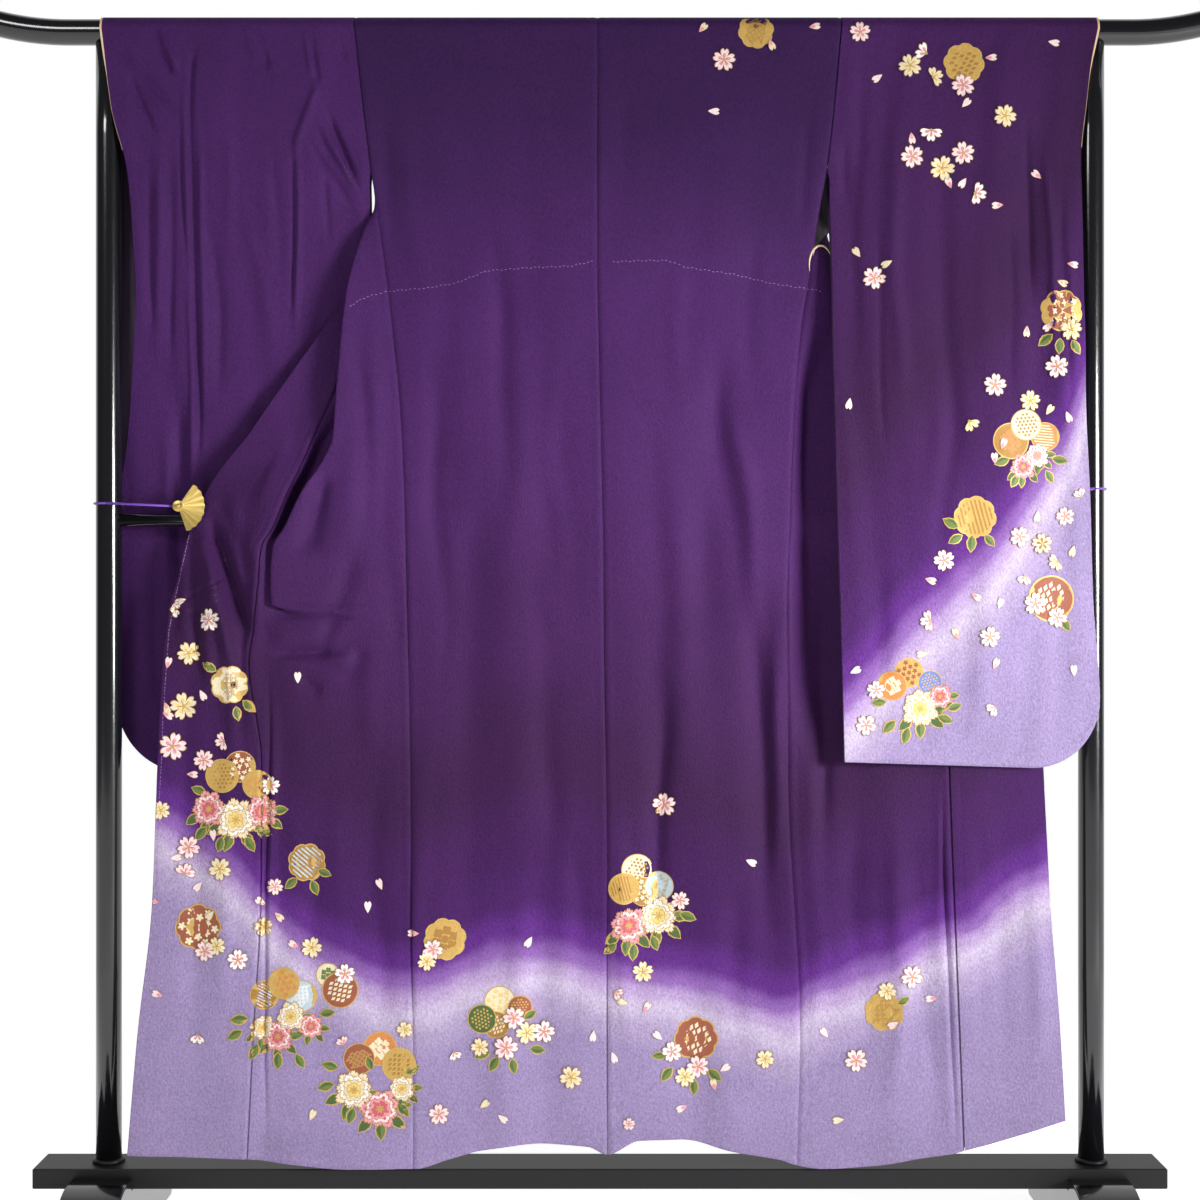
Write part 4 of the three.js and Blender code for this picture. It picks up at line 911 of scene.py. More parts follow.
for side, slack in SLACK.items():
    for kind, seam, low, high in (("overlap", overlap_seam, 100, 1330), ("collar", one(3), 985, 1700)):
        name = f"{side}_{kind}_seam_allowance"
        strip = seam_backing(name, side, seam, low, high, FRONT_CREASES, slack)
        seam_backings[f"{side}_front"].append(strip)
    seam_backings[f"{side}_back"].append(
        seam_backing(f"{side}_side_seam_allowance", side, one(1), 100, 1390, FRONT_CREASES, slack))
    # behind the collar's slanting end the turned-in ends of both pieces lie flat together
    rows = np.linspace(-10, 10, 9)[:, None]
    across = np.linspace(0.02, 0.98, 40)[None, :] * np.ones(rows.shape)
    height = COLLAR_END_INNER + (COLLAR_END_OUTER - COLLAR_END_INNER) * across + rows
    grid = shaped(body_surface(side, 3 + across, height), FRONT_CREASES, slack, 2.2, 0.6)
    seam_backings[f"{side}_front"].append(allowance(f"{side}_collar_end_allowance", grid, BODY_CREPE))
seam_backings["left_back"].append(
    seam_backing("centre_seam_allowance", "left", one(0), 100, 1720, BACK_CREASES, 1.0))

# Neck of the collar: the short stretch of the same folded band that joins both sides behind
# the rod, crepe outside and cream lining inside.
NECK_HALF, NECK_DROP, NECK_SWING = 79.4, 55.0, 3.0
across = np.linspace(-NECK_HALF, NECK_HALF, 40)[None, :]
over_rod = np.linspace(ROD_HEIGHT, ROD_HEIGHT + WRAP * math.pi / 2 - SEAM / 2, 10)[1:]
rows = np.concatenate([np.linspace(ROD_HEIGHT - NECK_DROP, ROD_HEIGHT, 14), over_rod])[:, None]
x = across * np.ones(rows.shape)
height = rows * np.ones(across.shape)
below = np.clip(ROD_HEIGHT - height, 0, 99) / NECK_DROP
grid = wrapped(x, WRAP + NECK_SWING * below ** 2, height, 1)
cloth_pieces["back_collar"] = cloth_shell("neck_collar_band", grid, (0, 1, 0), [BODY_CREPE, LINING])


# Sleeves: each is one long strip of crepe folded over the rod, its near layer and far layer
# joined below the cuff and along the bottom, with a rounded lower corner.
# height, inner x, near outer x, far outer x, near inner, near outer, far inner, far outer depth
LEFT_SLEEVE = np.array([
    [1751, -355, -717, -717, -WRAP, -WRAP, WRAP, WRAP], [1635, -341, -702, -706, -17.5, -21.5, 22, 22.5],
    [1550, -332, -682, -702, -11, -15.5, 15, 22], [1495, -332, -677, -700, 0, -12, 22, 22],
    [1421, -334, -674, -700, 12, -6, 28, 22], [1378, -336, -672, -700, 18, -3, 30, 22],
    [1305, -336, -676, -700, 22, 2, 32, 20], [1158, -339, -691, -702, 23, 20, 32, 27],
    [1085, -342, -703, -706, 23, 25.5, 32, 31], [924, -345, -709, -710, 23, 27, 31, 32],
    [778, -350, -708, -709, 24, 27.5, 29, 31.5], [660, -351, -706, -707, 25, 28, 29, 32]])
RIGHT_SLEEVE = np.array([
    [1751, 349, 716, 716, -WRAP, -WRAP, WRAP, WRAP], [1701, 342, 706, 706, -20.3, -21.5, 21, 21.5],
    [1643, 337, 699, 688, -19.5, -22.5, 21, 19], [1563, 329, 691, 682, -17, -23.5, 18, 8],
    [1498, 329, 692, 680, -21, -25, 2, -14], [1443, 330, 693, 687, -26, -27, -12, -22.5],
    [1377, 331, 693, 693, -33, -31, -23, -26], [1303, 331, 694, 694, -42, -36, -34, -31],
    [1216, 332, 693, 693, -53, -42, -46, -38], [1074, 334, 697, 697, -64, -50, -56, -46],
    [932, 338, 700, 700, -67, -54, -60, -50], [791, 342, 709, 709, -68, -57, -63, -53],
    [678, 345, 711, 711, -68, -58, -64, -54]])
JOIN_HEIGHT = 1550.0
CORNER_WIDTH, CORNER_HEIGHT = 100.0, 105.0
# side, table, bottom at inner edge, bottom at corner, near bulge, far bulge
SLEEVES = {"left": (LEFT_SLEEVE, 676.0, 676.0, -5.0, 5.0), "right": (RIGHT_SLEEVE, 699.0, 687.0, -6.0, 3.0)}
LEFT_SLEEVE_CREASES = (
    (-700, 1738, -598, 1618, 4.5, 2.4), (-694, 1722, -604, 1604, 4, -2.2),
    (-684, 1690, -640, 1590, 5, 1.6), (-642, 1742, -612, 1680, 4, 2.4),
    (-634, 1742, -606, 1690, 3.5, -2.0), (-588, 1742, -586, 1080, 4.5, 2.6),
    (-594, 1700, -596, 1000, 4.5, -2.2), (-604, 1660, -598, 1330, 3.5, 1.8),
    (-578, 1640, -574, 1180, 4, -1.6), (-612, 1600, -626, 1250, 6, 1.8),
    (-632, 1600, -640, 1240, 7, -1.8), (-650, 1590, -648, 1300, 6, 1.8),
    (-682, 1600, -662, 1280, 8, -2.2), (-700, 1660, -680, 1400, 6, 2.0),
    (-500, 1744, -474, 1690, 5, 2.8), (-510, 1744, -488, 1700, 4, -2.2),
    (-416, 1744, -400, 1660, 5, 2.8), (-424, 1742, -412, 1680, 4, -2.4),
    (-400, 1690, -446, 1560, 4, -1.8), (-434, 1620, -444, 1300, 4.5, -2.4),
    (-440, 1600, -450, 1330, 3.5, 1.8), (-400, 1640, -338, 1500, 4.5, 3.2),
    (-408, 1620, -342, 1502, 3.5, -2.6), (-424, 1590, -352, 1494, 4, 2.2),
    (-398, 1560, -390, 1440, 5, 1.4), (-466, 1600, -470, 1380, 8, 1.2),
    (-540, 1640, -536, 1400, 9, -1.2), (-560, 1500, -556, 1200, 9, 1.4),
    (-620, 1250, -606, 900, 10, 2.2), (-640, 1200, -630, 880, 9, -1.8),
    (-584, 1160, -596, 820, 9, -1.6), (-650, 1000, -640, 740, 10, 1.6),
    (-560, 1100, -566, 860, 12, 1.4), (-520, 1500, -470, 1280, 12, -1.4),
    (-500, 1250, -470, 980, 14, 1.4), (-372, 1744, -366, 1700, 4, 1.8))
RIGHT_SLEEVE_CREASES = (
    (372, 1720, 366, 1250, 9, 2.0), (430, 1700, 420, 1180, 12, -2.0), (500, 1600, 486, 900, 14, 1.8),
    (664, 1560, 668, 1180, 5, 2.2), (640, 1600, 650, 1240, 5, -2.0), (612, 1650, 622, 1330, 5, 1.8),
    (684, 1600, 690, 1250, 4, -2.0), (586, 1500, 592, 1200, 7, 1.6), (398, 1500, 404, 1120, 5, 1.6),
    (414, 880, 560, 868, 3.2, 1.4),
    (560, 1700, 570, 1240, 18, -1.4), (620, 1640, 616, 1000, 18, 1.6), (668, 1500, 676, 900, 14, -1.6),
    (690, 1400, 686, 1100, 8, 1.4), (400, 1000, 408, 740, 14, 1.6), (540, 1000, 528, 720, 20, -1.6),
    (640, 980, 652, 760, 14, 1.4), (352, 1600, 350, 1480, 8, 1.4), (460, 1380, 470, 1100, 14, 1.4))


def sleeve_grid(side, across, down):
    table, inner_end, corner_end, near_bulge, far_bulge = SLEEVES[side]
    sign = SIDES[side][0]
    u = across[None, :] * np.ones((len(down), 1))
    w = down[:, None] * np.ones((1, len(across)))
    angle = np.clip(w - 1, 0, 1) * math.pi
    rod_x = table[0, 1] + (table[0, 2] - table[0, 1]) * u
    over = np.stack([rod_x, -WRAP * np.cos(angle), ROD_HEIGHT + WRAP * np.sin(angle)], -1)
    near = w <= 1
    t = np.clip(np.where(near, w, 3 - w), 0, 1)
    low_outer = np.where(near, smooth_at(table, corner_end, 2), smooth_at(table, corner_end, 3))
    low_inner = smooth_at(table, corner_end, 1)
    x = low_inner + (low_outer - low_inner) * u
    c = np.clip(1 - np.abs(low_outer - x) / CORNER_WIDTH, 0, 1)
    bottom = (inner_end + (corner_end - inner_end) * np.minimum(u, 1)
              + CORNER_HEIGHT * (1 - np.sqrt(np.maximum(0, 1 - c * c))))
    height = bottom + (ROD_HEIGHT - bottom) * t
    inner = smooth_at(table, height, 1)
    inner_depth = np.where(near, smooth_at(table, height, 4), smooth_at(table, height, 6))
    joined = ease_in((height - (JOIN_HEIGHT - 16)) / 16)
    ones = np.ones(height.shape)
    back_edge, front_edge = back_surface(side, ones, height), front_surface(side, ones, height)
    edge = np.where(near[..., None], back_edge, front_edge)
    inner = (inner + sign * 1.2) * (1 - joined) + (edge[..., 0] + sign * SEAM) * joined
    inner_depth = inner_depth * (1 - joined) + edge[..., 1] * joined
    outer = np.where(near, smooth_at(table, height, 2), smooth_at(table, height, 3))
    outer_depth = np.where(near, smooth_at(table, height, 5), smooth_at(table, height, 7))
    bulge = (np.where(near, near_bulge, far_bulge) * np.sin(math.pi * np.clip(u, 0, 1))
             * ease_in((ROD_HEIGHT - height) / 200) * ease_in((height - bottom) / 150))
    hanging = np.stack([inner + (outer - inner) * u, inner_depth + (outer_depth - inner_depth) * u + bulge,
                        height], -1)
    return np.where(((w > 1) & (w < 2))[..., None], over, hanging)


sleeve_down = np.concatenate([np.linspace(0, 1, 150), np.linspace(1, 2, 21)[1:-1], np.linspace(2, 3, 70)])
# side, crepe, creases, columns of the grid, strength of the creases
for side, finish, creases, columns, strength in (
        ("left", PLAIN_CREPE, LEFT_SLEEVE_CREASES, 150, 1.35),
        ("right", SLEEVE_CREPE, RIGHT_SLEEVE_CREASES, 110, 1.0)):
    across = edge_dense(columns, 370.0)
    grid = sleeve_grid(side, across, sleeve_down)
    hang = ease_in((ROD_HEIGHT + 4 - grid[..., 2]) / 26) * ease_in((grid[..., 2] - 690) / 60)
    depth = (strength * crease_depth(grid, creases) + soft_ripple(grid, 8.0, 42.0, 0.9)) * hang
    depth = depth * ease_in(across / 0.06)[None, :] * ease_in((1 - across) / 0.06)[None, :]
    # close under the rod the cloth can only bulge away from it
    room = 0.2 + 0.2 * np.maximum(0, ROD_HEIGHT - 22 - grid[..., 2])
    depth = np.where((sleeve_down < 1.5)[:, None], np.minimum(depth, room), np.maximum(depth, -room))
    grid = moved_back(grid, depth)
    sleeve = cloth_shell(f"{side}_long_sleeve", grid, TOWARD_VIEWER, [finish, SHADED_SLEEVE_FACING])
    cloth_pieces[f"{side}_sleeve"] = sleeve

# Cuff openings: the silk lining is rolled out over the crepe as a narrow cream edge, and is
# stitched down from inside round the whole opening.
PIPING = 3.6
for side in ("left", "right"):
    sign = SIDES[side][0]
    down = np.concatenate([np.linspace(0.82, 1, 25), np.linspace(1, 2, 21)[1:-1], np.linspace(2, 2.18, 25)])
    edge = sleeve_grid(side, np.array([1.0]), down)
    showing = 0.12 + 0.88 * ease_in((edge[:, 0, 2] - 1672) / 62)
    ring = []
    for k in range(9):
        roll = (PIPING - 0.8) * (0.5 + 0.5 * math.sin(math.pi * (k / 8 - 0.5)))
        out = np.zeros(edge[:, 0].shape)
        out[:, 0] = sign * (SEAM + roll * showing)
        ring.append(edge[:, 0] + out)
    grid = np.stack(ring, axis=1)
    piping = cloth_shell(f"{side}_rolled_cuff_lining", grid, TOWARD_VIEWER, [LINING, LINING])
    cloth_pieces[f"{side}_cuff_piping"] = piping

# Body armhole: below the sleeve the lining is rolled out over the front's free edge as well,
# and shows as a small cream crescent where the right front swings away from the sleeve.
stations = []
for k in range(25):
    turn = math.radians(196 - 160 * k / 24)
    thickness = 1.7 * max(0.15, math.sin(math.pi * k / 24)) ** 0.6
    stations.append(((319 + 17 * math.cos(turn), -12.5 + 5 * k / 24, 1411 + 29 * math.sin(turn)), thickness,
                     (math.sin(turn), 0, -math.cos(turn))))
armhole_roll = swept_bar("right_armhole_lining_roll", stations, 16)
armhole_roll.data.materials.append(LINING)
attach(armhole_roll, "root")

for node, piece in cloth_pieces.items():
    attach(piece, "root")
    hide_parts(node)


# Dyed and gilded flowers, petals, leaves and patterned roundels. They are painted flat on the
# crepe after the widths are basted together, each shape ringed with a thin line of gold.
# Paint and gold stand a little off the crepe: the lowest skin first, then a step for each level.
FLOOR_LIFT = 0.22
LIFT_STEP = 0.05
# A shape is dropped onto the cloth from a little before it, and keeps to one layer of it.
DROP_FROM, LAYER_DEPTH = 60, 9


def paint_finish(name, colour, rough=0.6, metal=0.0):
    material, nodes, links, shader = new_material(name)
    grain, tint = crepe_grained(nodes, links, 0.85, 1.1)
    tint.inputs["A"].default_value = (*colour, 1)
    links.new(tint.outputs["Result"], shader.inputs["Base Color"])
    add_relief(nodes, links, shader, grain.outputs["Height"], 0.3, 0.0008)
    set_inputs(shader, Roughness=rough, Metallic=metal)
    return material


TONES = {tone: paint_finish(*paint) for tone, *paint in (
    ("gold", "gold line", (0.56, 0.36, 0.10), 0.5, 0.35),
    ("old gold", "old gold", (0.34, 0.17, 0.03), 0.6, 0.1),
    ("bright gold", "bright gold", (0.50, 0.31, 0.075), 0.6, 0.1),
    ("white", "white", (0.80, 0.76, 0.74)),
    ("blush", "pale blush", (0.80, 0.62, 0.62)),
    ("pink", "pink", (0.70, 0.27, 0.31)),
    ("rose", "rose", (0.52, 0.09, 0.12)),
    ("cream", "cream", (0.72, 0.62, 0.42)),
    ("yellow", "soft yellow", (0.72, 0.52, 0.16)),
    ("leaf", "leaf green", (0.12, 0.17, 0.03)),
    ("moss", "moss green", (0.05, 0.10, 0.02)),
    ("brown", "red brown", (0.27, 0.07, 0.03)),
    ("orange", "orange", (0.56, 0.20, 0.05)),
    ("sky", "grey blue", (0.40, 0.50, 0.54)),
    ("blue", "blue", (0.10, 0.17, 0.42)),
    ("violet", "violet line", (0.22, 0.08, 0.30)))}
TONE_NAMES = list(TONES)
hit_points, hit_faces, hit_owner = [], [], []
for node, piece in cloth_pieces.items():
    if "piping" in node:
        continue
    mesh = piece.data
    start = len(hit_points)
    hit_points += [v.co / MM for v in mesh.vertices]
    for face in mesh.polygons:
        if face.material_index == 0:
            hit_faces.append([start + v for v in face.vertices])
            hit_owner.append(node)
CLOTH_FRONT = BVHTree.FromPolygons(hit_points, hit_faces)
VIEW_DISTANCE, VIEW_HEIGHT = 2600, 928
EYE = Vector((0, -VIEW_DISTANCE, VIEW_HEIGHT))
MM_PER_PIXEL = 1.45
PHOTO_MIDDLE = 600
PHOTO_DROP = 0.0075
painted = {}


def at(px, py):
    """The cloth under a place in the photograph: its node, the point, and its x and height."""
    level = py - PHOTO_DROP * (px - PHOTO_MIDDLE)
    x, z = (px - PHOTO_MIDDLE) * MM_PER_PIXEL, VIEW_HEIGHT + (PHOTO_MIDDLE - level) * MM_PER_PIXEL
    aim = Vector((x, 0, z))
    point, _, face, _ = CLOTH_FRONT.ray_cast(EYE, (aim - EYE).normalized())
    return (None, None, None) if point is None else (hit_owner[face], point, (point.x, point.z))


def lay_shape(spot, ring, angle, tone, level):
    """A flat shape, star-shaped round its centre, turned and laid on the cloth as a thin skin."""
    node, centre, place = spot
    c, s = math.cos(angle), math.sin(angle)
    ring = [(place[0] + (x * c - z * s), place[1] + (x * s + z * c)) for x, z in ring]
    heart = (sum(p[0] for p in ring) / len(ring), sum(p[1] for p in ring) / len(ring))
    inner = [((p[0] + heart[0]) / 2, (p[1] + heart[1]) / 2) for p in ring]
    points, faces, tones = painted.setdefault(node, ([], [], []))
    keep = {}
    for n, (x, z) in enumerate([heart, *inner, *ring]):
        point, _, _, _ = CLOTH_FRONT.ray_cast(Vector((x, centre.y - DROP_FROM, z)), Vector((0, 1, 0)))
        if point is not None and abs(point.y - centre.y) <= LAYER_DEPTH:
            keep[n] = len(points)
            points.append((x * MM, (point.y - FLOOR_LIFT - LIFT_STEP * level) * MM, z * MM))
    n = len(ring)
    for i in range(n):
        j = (i + 1) % n
        for face in ((0, 1 + i, 1 + j), (1 + i, 1 + n + i, 1 + n + j, 1 + j)):
            if all(v in keep for v in face):
                faces.append([keep[v] for v in face])
                tones.append(TONE_NAMES.index(tone))


def grown(ring, wider, longer, shift=0.0):
    return [(x * wider, z * longer + shift) for x, z in ring]


def mirrored(half, width, length, middle):
    """A closed outline from its right half and the height of its middle point."""
    ring = [(x * width, z * length) for x, z in half]
    ring.append((0.0, middle * length))
    return ring + [(-x, z) for x, z in ring[-2:0:-1]]


def petal_ring(length, width, notch):
    """Outline of a cherry petal with its foot at the origin, pointing up, cleft at the tip."""
    half = [(0.0, 0.0), (0.17, 0.16), (0.38, 0.42), (0.50, 0.66), (0.47, 0.82), (0.36, 0.94), (0.20, 1.0)]
    return mirrored(half, width, length, 1.0 - notch)


def round_petal_ring(length, width):
    """Outline of a broad peony petal with a softly frilled edge."""
    half = [(0.0, 0.0), (0.26, 0.22), (0.46, 0.52), (0.50, 0.76), (0.36, 0.92), (0.24, 0.84), (0.12, 1.0)]
    return mirrored(half, width, length, 0.95)


def circle_ring(radius, count, lobes=0, depth=0.0):
    ring = []
    for i in range(count):
        a = 2 * math.pi * i / count
        r = radius * (1 - depth * abs(math.cos(lobes * a / 2)) ** 6) if lobes else radius
        ring.append((r * math.cos(a), r * math.sin(a)))
    return ring


def lay_petal(spot, size, angle, face, heart, level):
    ring = petal_ring(size, 0.58 * size, 0.16)
    lay_shape(spot, grown(ring, 1.12, 1.06, -0.03 * size), angle, "old gold", level)
    lay_shape(spot, ring, angle, face, level + 1)
    if heart:
        lay_shape(spot, petal_ring(0.56 * size, 0.30 * size, 0.0), angle, heart, level + 2)


def lay_blossom(spot, radius, angle, face, heart, petals, level):
    """Cherry blossom: five cleft petals, a darker heart and gold stamens."""
    rim = grown(petal_ring(radius, 0.74 * radius, 0.2), 1.12, 1.06)
    stamen = [(-0.035, 0.1), (0.035, 0.1), (0.02, 0.5), (-0.02, 0.5)]
    turns = [angle + k * 2 * math.pi / 5 for k in range(petals)]
    for turn in turns:
        lay_shape(spot, rim, turn, "old gold", level)
    for turn in turns:
        lay_shape(spot, petal_ring(radius, 0.72 * radius, 0.2), turn, face, level + 1)
        lay_shape(spot, petal_ring(0.60 * radius, 0.28 * radius, 0.0), turn, heart, level + 2)
        lay_shape(spot, grown(stamen, radius, radius), turn + 0.2, "old gold", level + 3)
    lay_shape(spot, circle_ring(0.15 * radius, 8), 0, "bright gold", level + 4)


def lay_leaf(spot, length, angle, tone, level):
    ring = mirrored([(0, 0), (0.17, 0.2), (0.25, 0.45), (0.19, 0.72)], length, length, 1)
    lay_shape(spot, grown(ring, 1.3, 1.1, -0.05 * length), angle, "gold", level)
    lay_shape(spot, ring, angle, tone, level + 1)
    shaded = grown([(0, 0.05), (0.15, 0.25), (0.21, 0.5), (0, 0.92)], length, length)
    lay_shape(spot, shaded, angle, "moss", level + 2)


def lay_peony(spot, radius, angle, tones, level):
    """Peony: four rounds of frilled petals, each edged with gold, and a gold heart."""
    rounds = ((1.08, 9, 0.56, tones[0]), (0.86, 8, 0.50, tones[1]), (0.62, 7, 0.42, tones[0]),
              (0.42, 5, 0.34, tones[2]))
    for step, (reach, count, width, tone) in enumerate(rounds):
        for k in range(count):
            turn = angle + step * 0.4 + k * 2 * math.pi / count
            size = reach * radius * (1 + 0.09 * math.sin(2.4 * k + 5 * angle + step))
            ring = round_petal_ring(size, width * radius)
            depth = level + 3 * step + k % 2
            lay_shape(spot, grown(ring, 1.10, 1.05), turn, "old gold", depth)
            lay_shape(spot, ring, turn, tone, depth + 1)
            if step < 3:
                blush = petal_ring(0.8 * size, 0.4 * width * radius, 0.0)
                lay_shape(spot, blush, turn, tones[2 if tone != tones[2] else 1], depth + 1.6)
    stamen = grown([(-0.03, 0.0), (0.03, 0.0), (0.045, 0.2), (0.0, 0.25), (-0.045, 0.2)], radius, radius)
    for k in range(7):
        lay_shape(spot, stamen, angle + k * 0.9, "bright gold", level + 14)


def staggered(columns, rows, step, rise):
    """Places in rows, every second row set off by half a step."""
    return [((i + 0.5 * (j % 2)) * step, j * rise * step) for i in columns for j in rows]


def lay_roundel(spot, radius, angle, base, pattern, second, lobes, level):
    """Round patterned ground ringed with gold; the pattern is one of a few simple old ones."""
    depth = 0.09 if lobes else 0.0
    lay_shape(spot, circle_ring(1.07 * radius, 48, lobes, depth), angle, "gold", level)
    lay_shape(spot, circle_ring(radius, 48, lobes, depth), angle, base, level + 1)
    marks = []
    inside = 0.86 * radius
    if pattern == "dots":
        dot = circle_ring(0.09 * radius, 6)
        marks = [(shift, dot) for shift in staggered(range(-4, 5), range(-4, 5), 0.27 * radius, 0.87)]
    elif pattern == "florets":
        floret = circle_ring(0.19 * radius, 15, 5, 0.45)
        marks = [(shift, floret) for shift in staggered(range(-2, 3), range(-2, 3), 0.44 * radius, 0.87)]
    elif pattern == "diamonds":
        diamond = [(0.17 * radius, 0), (0, 0.1 * radius), (-0.17 * radius, 0), (0, -0.1 * radius)]
        marks = [(shift, diamond) for shift in staggered(range(-3, 4), range(-3, 4), 0.40 * radius, 0.5)]
    elif pattern == "stripes":
        for i in range(-4, 5):
            x = 0.2 * i * radius
            reach = math.sqrt(max(0, inside**2 - x * x))
            for part in range(3):
                low, high = -reach + part * reach * 2 / 3, -reach + (part + 1) * reach * 2 / 3
                side = 0.045 * radius
                marks.append(((x, 0), [(-side, low), (side, low), (side, high), (-side, high)]))
        inside = 2 * radius
    elif pattern == "waves":
        step = 0.36 * radius
        for shift in staggered(range(-3, 4), range(-3, 3), step, 0.5):
            for size in (0.5, 0.28):
                r, q = size * step, (size - 0.11) * step
                for part in range(4):
                    a, b = math.pi * part / 4, math.pi * (part + 1) / 4
                    corners = ((r, a), (r, b), (q, b), (q, a))
                    marks.append((shift, [(far * math.cos(c), far * math.sin(c)) for far, c in corners]))
    elif pattern == "bloom":
        for k in range(6):
            a = k * math.pi / 3
            shift = (0.45 * radius * math.cos(a), 0.45 * radius * math.sin(a))
            marks.append((shift, circle_ring(0.26 * radius, 12, 4, 0.3)))
        marks.append(((0, 0), circle_ring(0.2 * radius, 10)))
    for shift, ring in marks:
        if math.hypot(*shift) + 0.08 * radius < inside:
            lay_shape(spot, [(x + shift[0], z + shift[1]) for x, z in ring], angle, second, level + 2)


# Cherry blossoms: across, down, tone, radius (places and sizes in pixels of the photograph).
BLOSSOM_TONES = {"p": ("blush", "pink"), "c": ("cream", "yellow"), "w": ("white", "pink"),
                 "y": ("cream", "old gold")}
BLOSSOMS = (
    (860, 34, "p", 10), (910, 68, "c", 11), (963, 88, "p", 11), (1005, 119, "c", 11),
    (912, 159, "p", 11), (942, 171, "c", 12), (963, 156, "p", 11), (874, 280, "p", 11),
    (1057, 370, "w", 11), (995, 388, "p", 11), (1030, 404, "c", 10), (1065, 520, "p", 9),
    (1020, 540, "p", 10), (1042, 547, "y", 10), (944, 563, "w", 10), (990, 640, "w", 10),
    (866, 727, "p", 10), (724, 61, "p", 11), (209, 617, "w", 11), (189, 650, "c", 11),
    (184, 703, "c", 13), (173, 743, "p", 13), (204, 757, "p", 10), (161, 807, "c", 9),
    (189, 844, "p", 11), (220, 866, "c", 11), (238, 957, "w", 10), (271, 783, "w", 9),
    (275, 884, "p", 8), (264, 924, "c", 9), (312, 945, "c", 10), (405, 1028, "c", 8),
    (439, 1113, "p", 10), (664, 805, "p", 11), (571, 1077, "c", 11), (643, 972, "c", 10),
    (765, 1060, "c", 9), (629, 1124, "p", 6), (912, 979, "p", 11), (856, 1062, "p", 11))
# Part blossoms with two or three petals: across, down, tone, radius, petals.
PART_BLOSSOMS = (
    (926, 56, "w", 11, 2), (933, 80, "c", 10, 3), (931, 133, "w", 11, 3), (975, 196, "w", 11, 3),
    (969, 424, "c", 10, 2), (1081, 500, "p", 8, 2), (1057, 565, "c", 9, 3), (1025, 579, "p", 9, 2),
    (930, 623, "p", 10, 3), (995, 710, "w", 9, 2), (171, 606, "w", 10, 2), (224, 738, "p", 9, 3),
    (185, 870, "p", 10, 3), (198, 1032, "w", 9, 2), (344, 1042, "p", 8, 2), (454, 1051, "w", 8, 2),
    (615, 992, "p", 8, 2))
# Single petals in the wind: across, down.
PETALS = (
    (882, 77), (1048, 45), (962, 110), (911, 135), (966, 181), (951, 191), (1003, 208), (1041, 182),
    (860, 259), (892, 263), (1067, 267), (1057, 284), (1027, 329), (850, 400), (1046, 418), (1066, 415),
    (1038, 514), (1074, 549), (925, 581), (971, 596), (998, 612), (957, 642), (928, 656), (850, 675),
    (993, 672), (1074, 680), (699, 33), (809, 29), (708, 112), (186, 596), (167, 665), (200, 687),
    (165, 699), (163, 709), (187, 771), (214, 838), (170, 855), (202, 879), (159, 899), (163, 993),
    (298, 681), (266, 902), (275, 910), (299, 945), (382, 888), (368, 911), (310, 1118), (419, 932),
    (532, 936), (480, 1107), (498, 1114), (594, 1030), (628, 1004), (643, 1012), (746, 861),
    (715, 1091), (687, 1106), (612, 1052), (720, 1072), (937, 1000), (828, 1039), (844, 1121),
    (1001, 452), (995, 467))
# Roundels: across, down, radius, ground, pattern, second tone, lobes.
ROUNDELS = (
    (964, 66, 19.5, "bright gold", "diamonds", "old gold", 8),
    (756, 32, 17, "bright gold", "waves", "old gold", 8),
    (1062, 314, 20, "brown", "florets", "cream", 8), (1026, 428, 13, "cream", "dots", "old gold", 0),
    (1045, 440, 12, "orange", "stripes", "cream", 0), (1011, 444, 15, "old gold", "bloom", "orange", 0),
    (975, 520, 20, "bright gold", "stripes", "old gold", 8),
    (1051, 602, 19, "brown", "diamonds", "cream", 0),
    (909, 675, 12, "bright gold", "florets", "brown", 0),
    (930, 685, 10, "blue", "dots", "bright gold", 0), (892, 688, 12, "orange", "bloom", "cream", 0),
    (229, 682, 18, "cream", "waves", "old gold", 8), (240, 764, 13, "brown", "florets", "cream", 0),
    (222, 773, 14, "bright gold", "dots", "old gold", 0),
    (257, 782, 12, "bright gold", "waves", "orange", 0), (199, 924, 22, "brown", "florets", "cream", 8),
    (307, 860, 18, "old gold", "stripes", "sky", 8), (328, 973, 10, "cream", "bloom", "leaf", 0),
    (340, 988, 15, "brown", "diamonds", "cream", 0),
    (284, 981, 13, "bright gold", "florets", "orange", 0),
    (265, 992, 12, "old gold", "stripes", "cream", 0), (301, 994, 13, "sky", "waves", "white", 0),
    (359, 1057, 13, "brown", "waves", "bright gold", 0),
    (399, 1063, 14, "bright gold", "diamonds", "old gold", 0),
    (380, 1047, 14, "orange", "bloom", "cream", 0),
    (445, 938, 20, "bright gold", "bloom", "old gold", 8),
    (520, 1007, 10, "brown", "dots", "bright gold", 0),
    (482, 1018, 12, "moss", "dots", "bright gold", 0), (500, 1001, 13, "cream", "florets", "yellow", 0),
    (496, 1024, 11, "old gold", "diamonds", "cream", 0),
    (624, 889, 13, "bright gold", "stripes", "old gold", 0),
    (659, 886, 12, "sky", "waves", "bright gold", 0), (637, 870, 13, "cream", "dots", "old gold", 0),
    (644, 892, 12, "old gold", "florets", "cream", 0), (696, 1039, 21, "brown", "diamonds", "cream", 8),
    (884, 1014, 18, "bright gold", "waves", "old gold", 8))
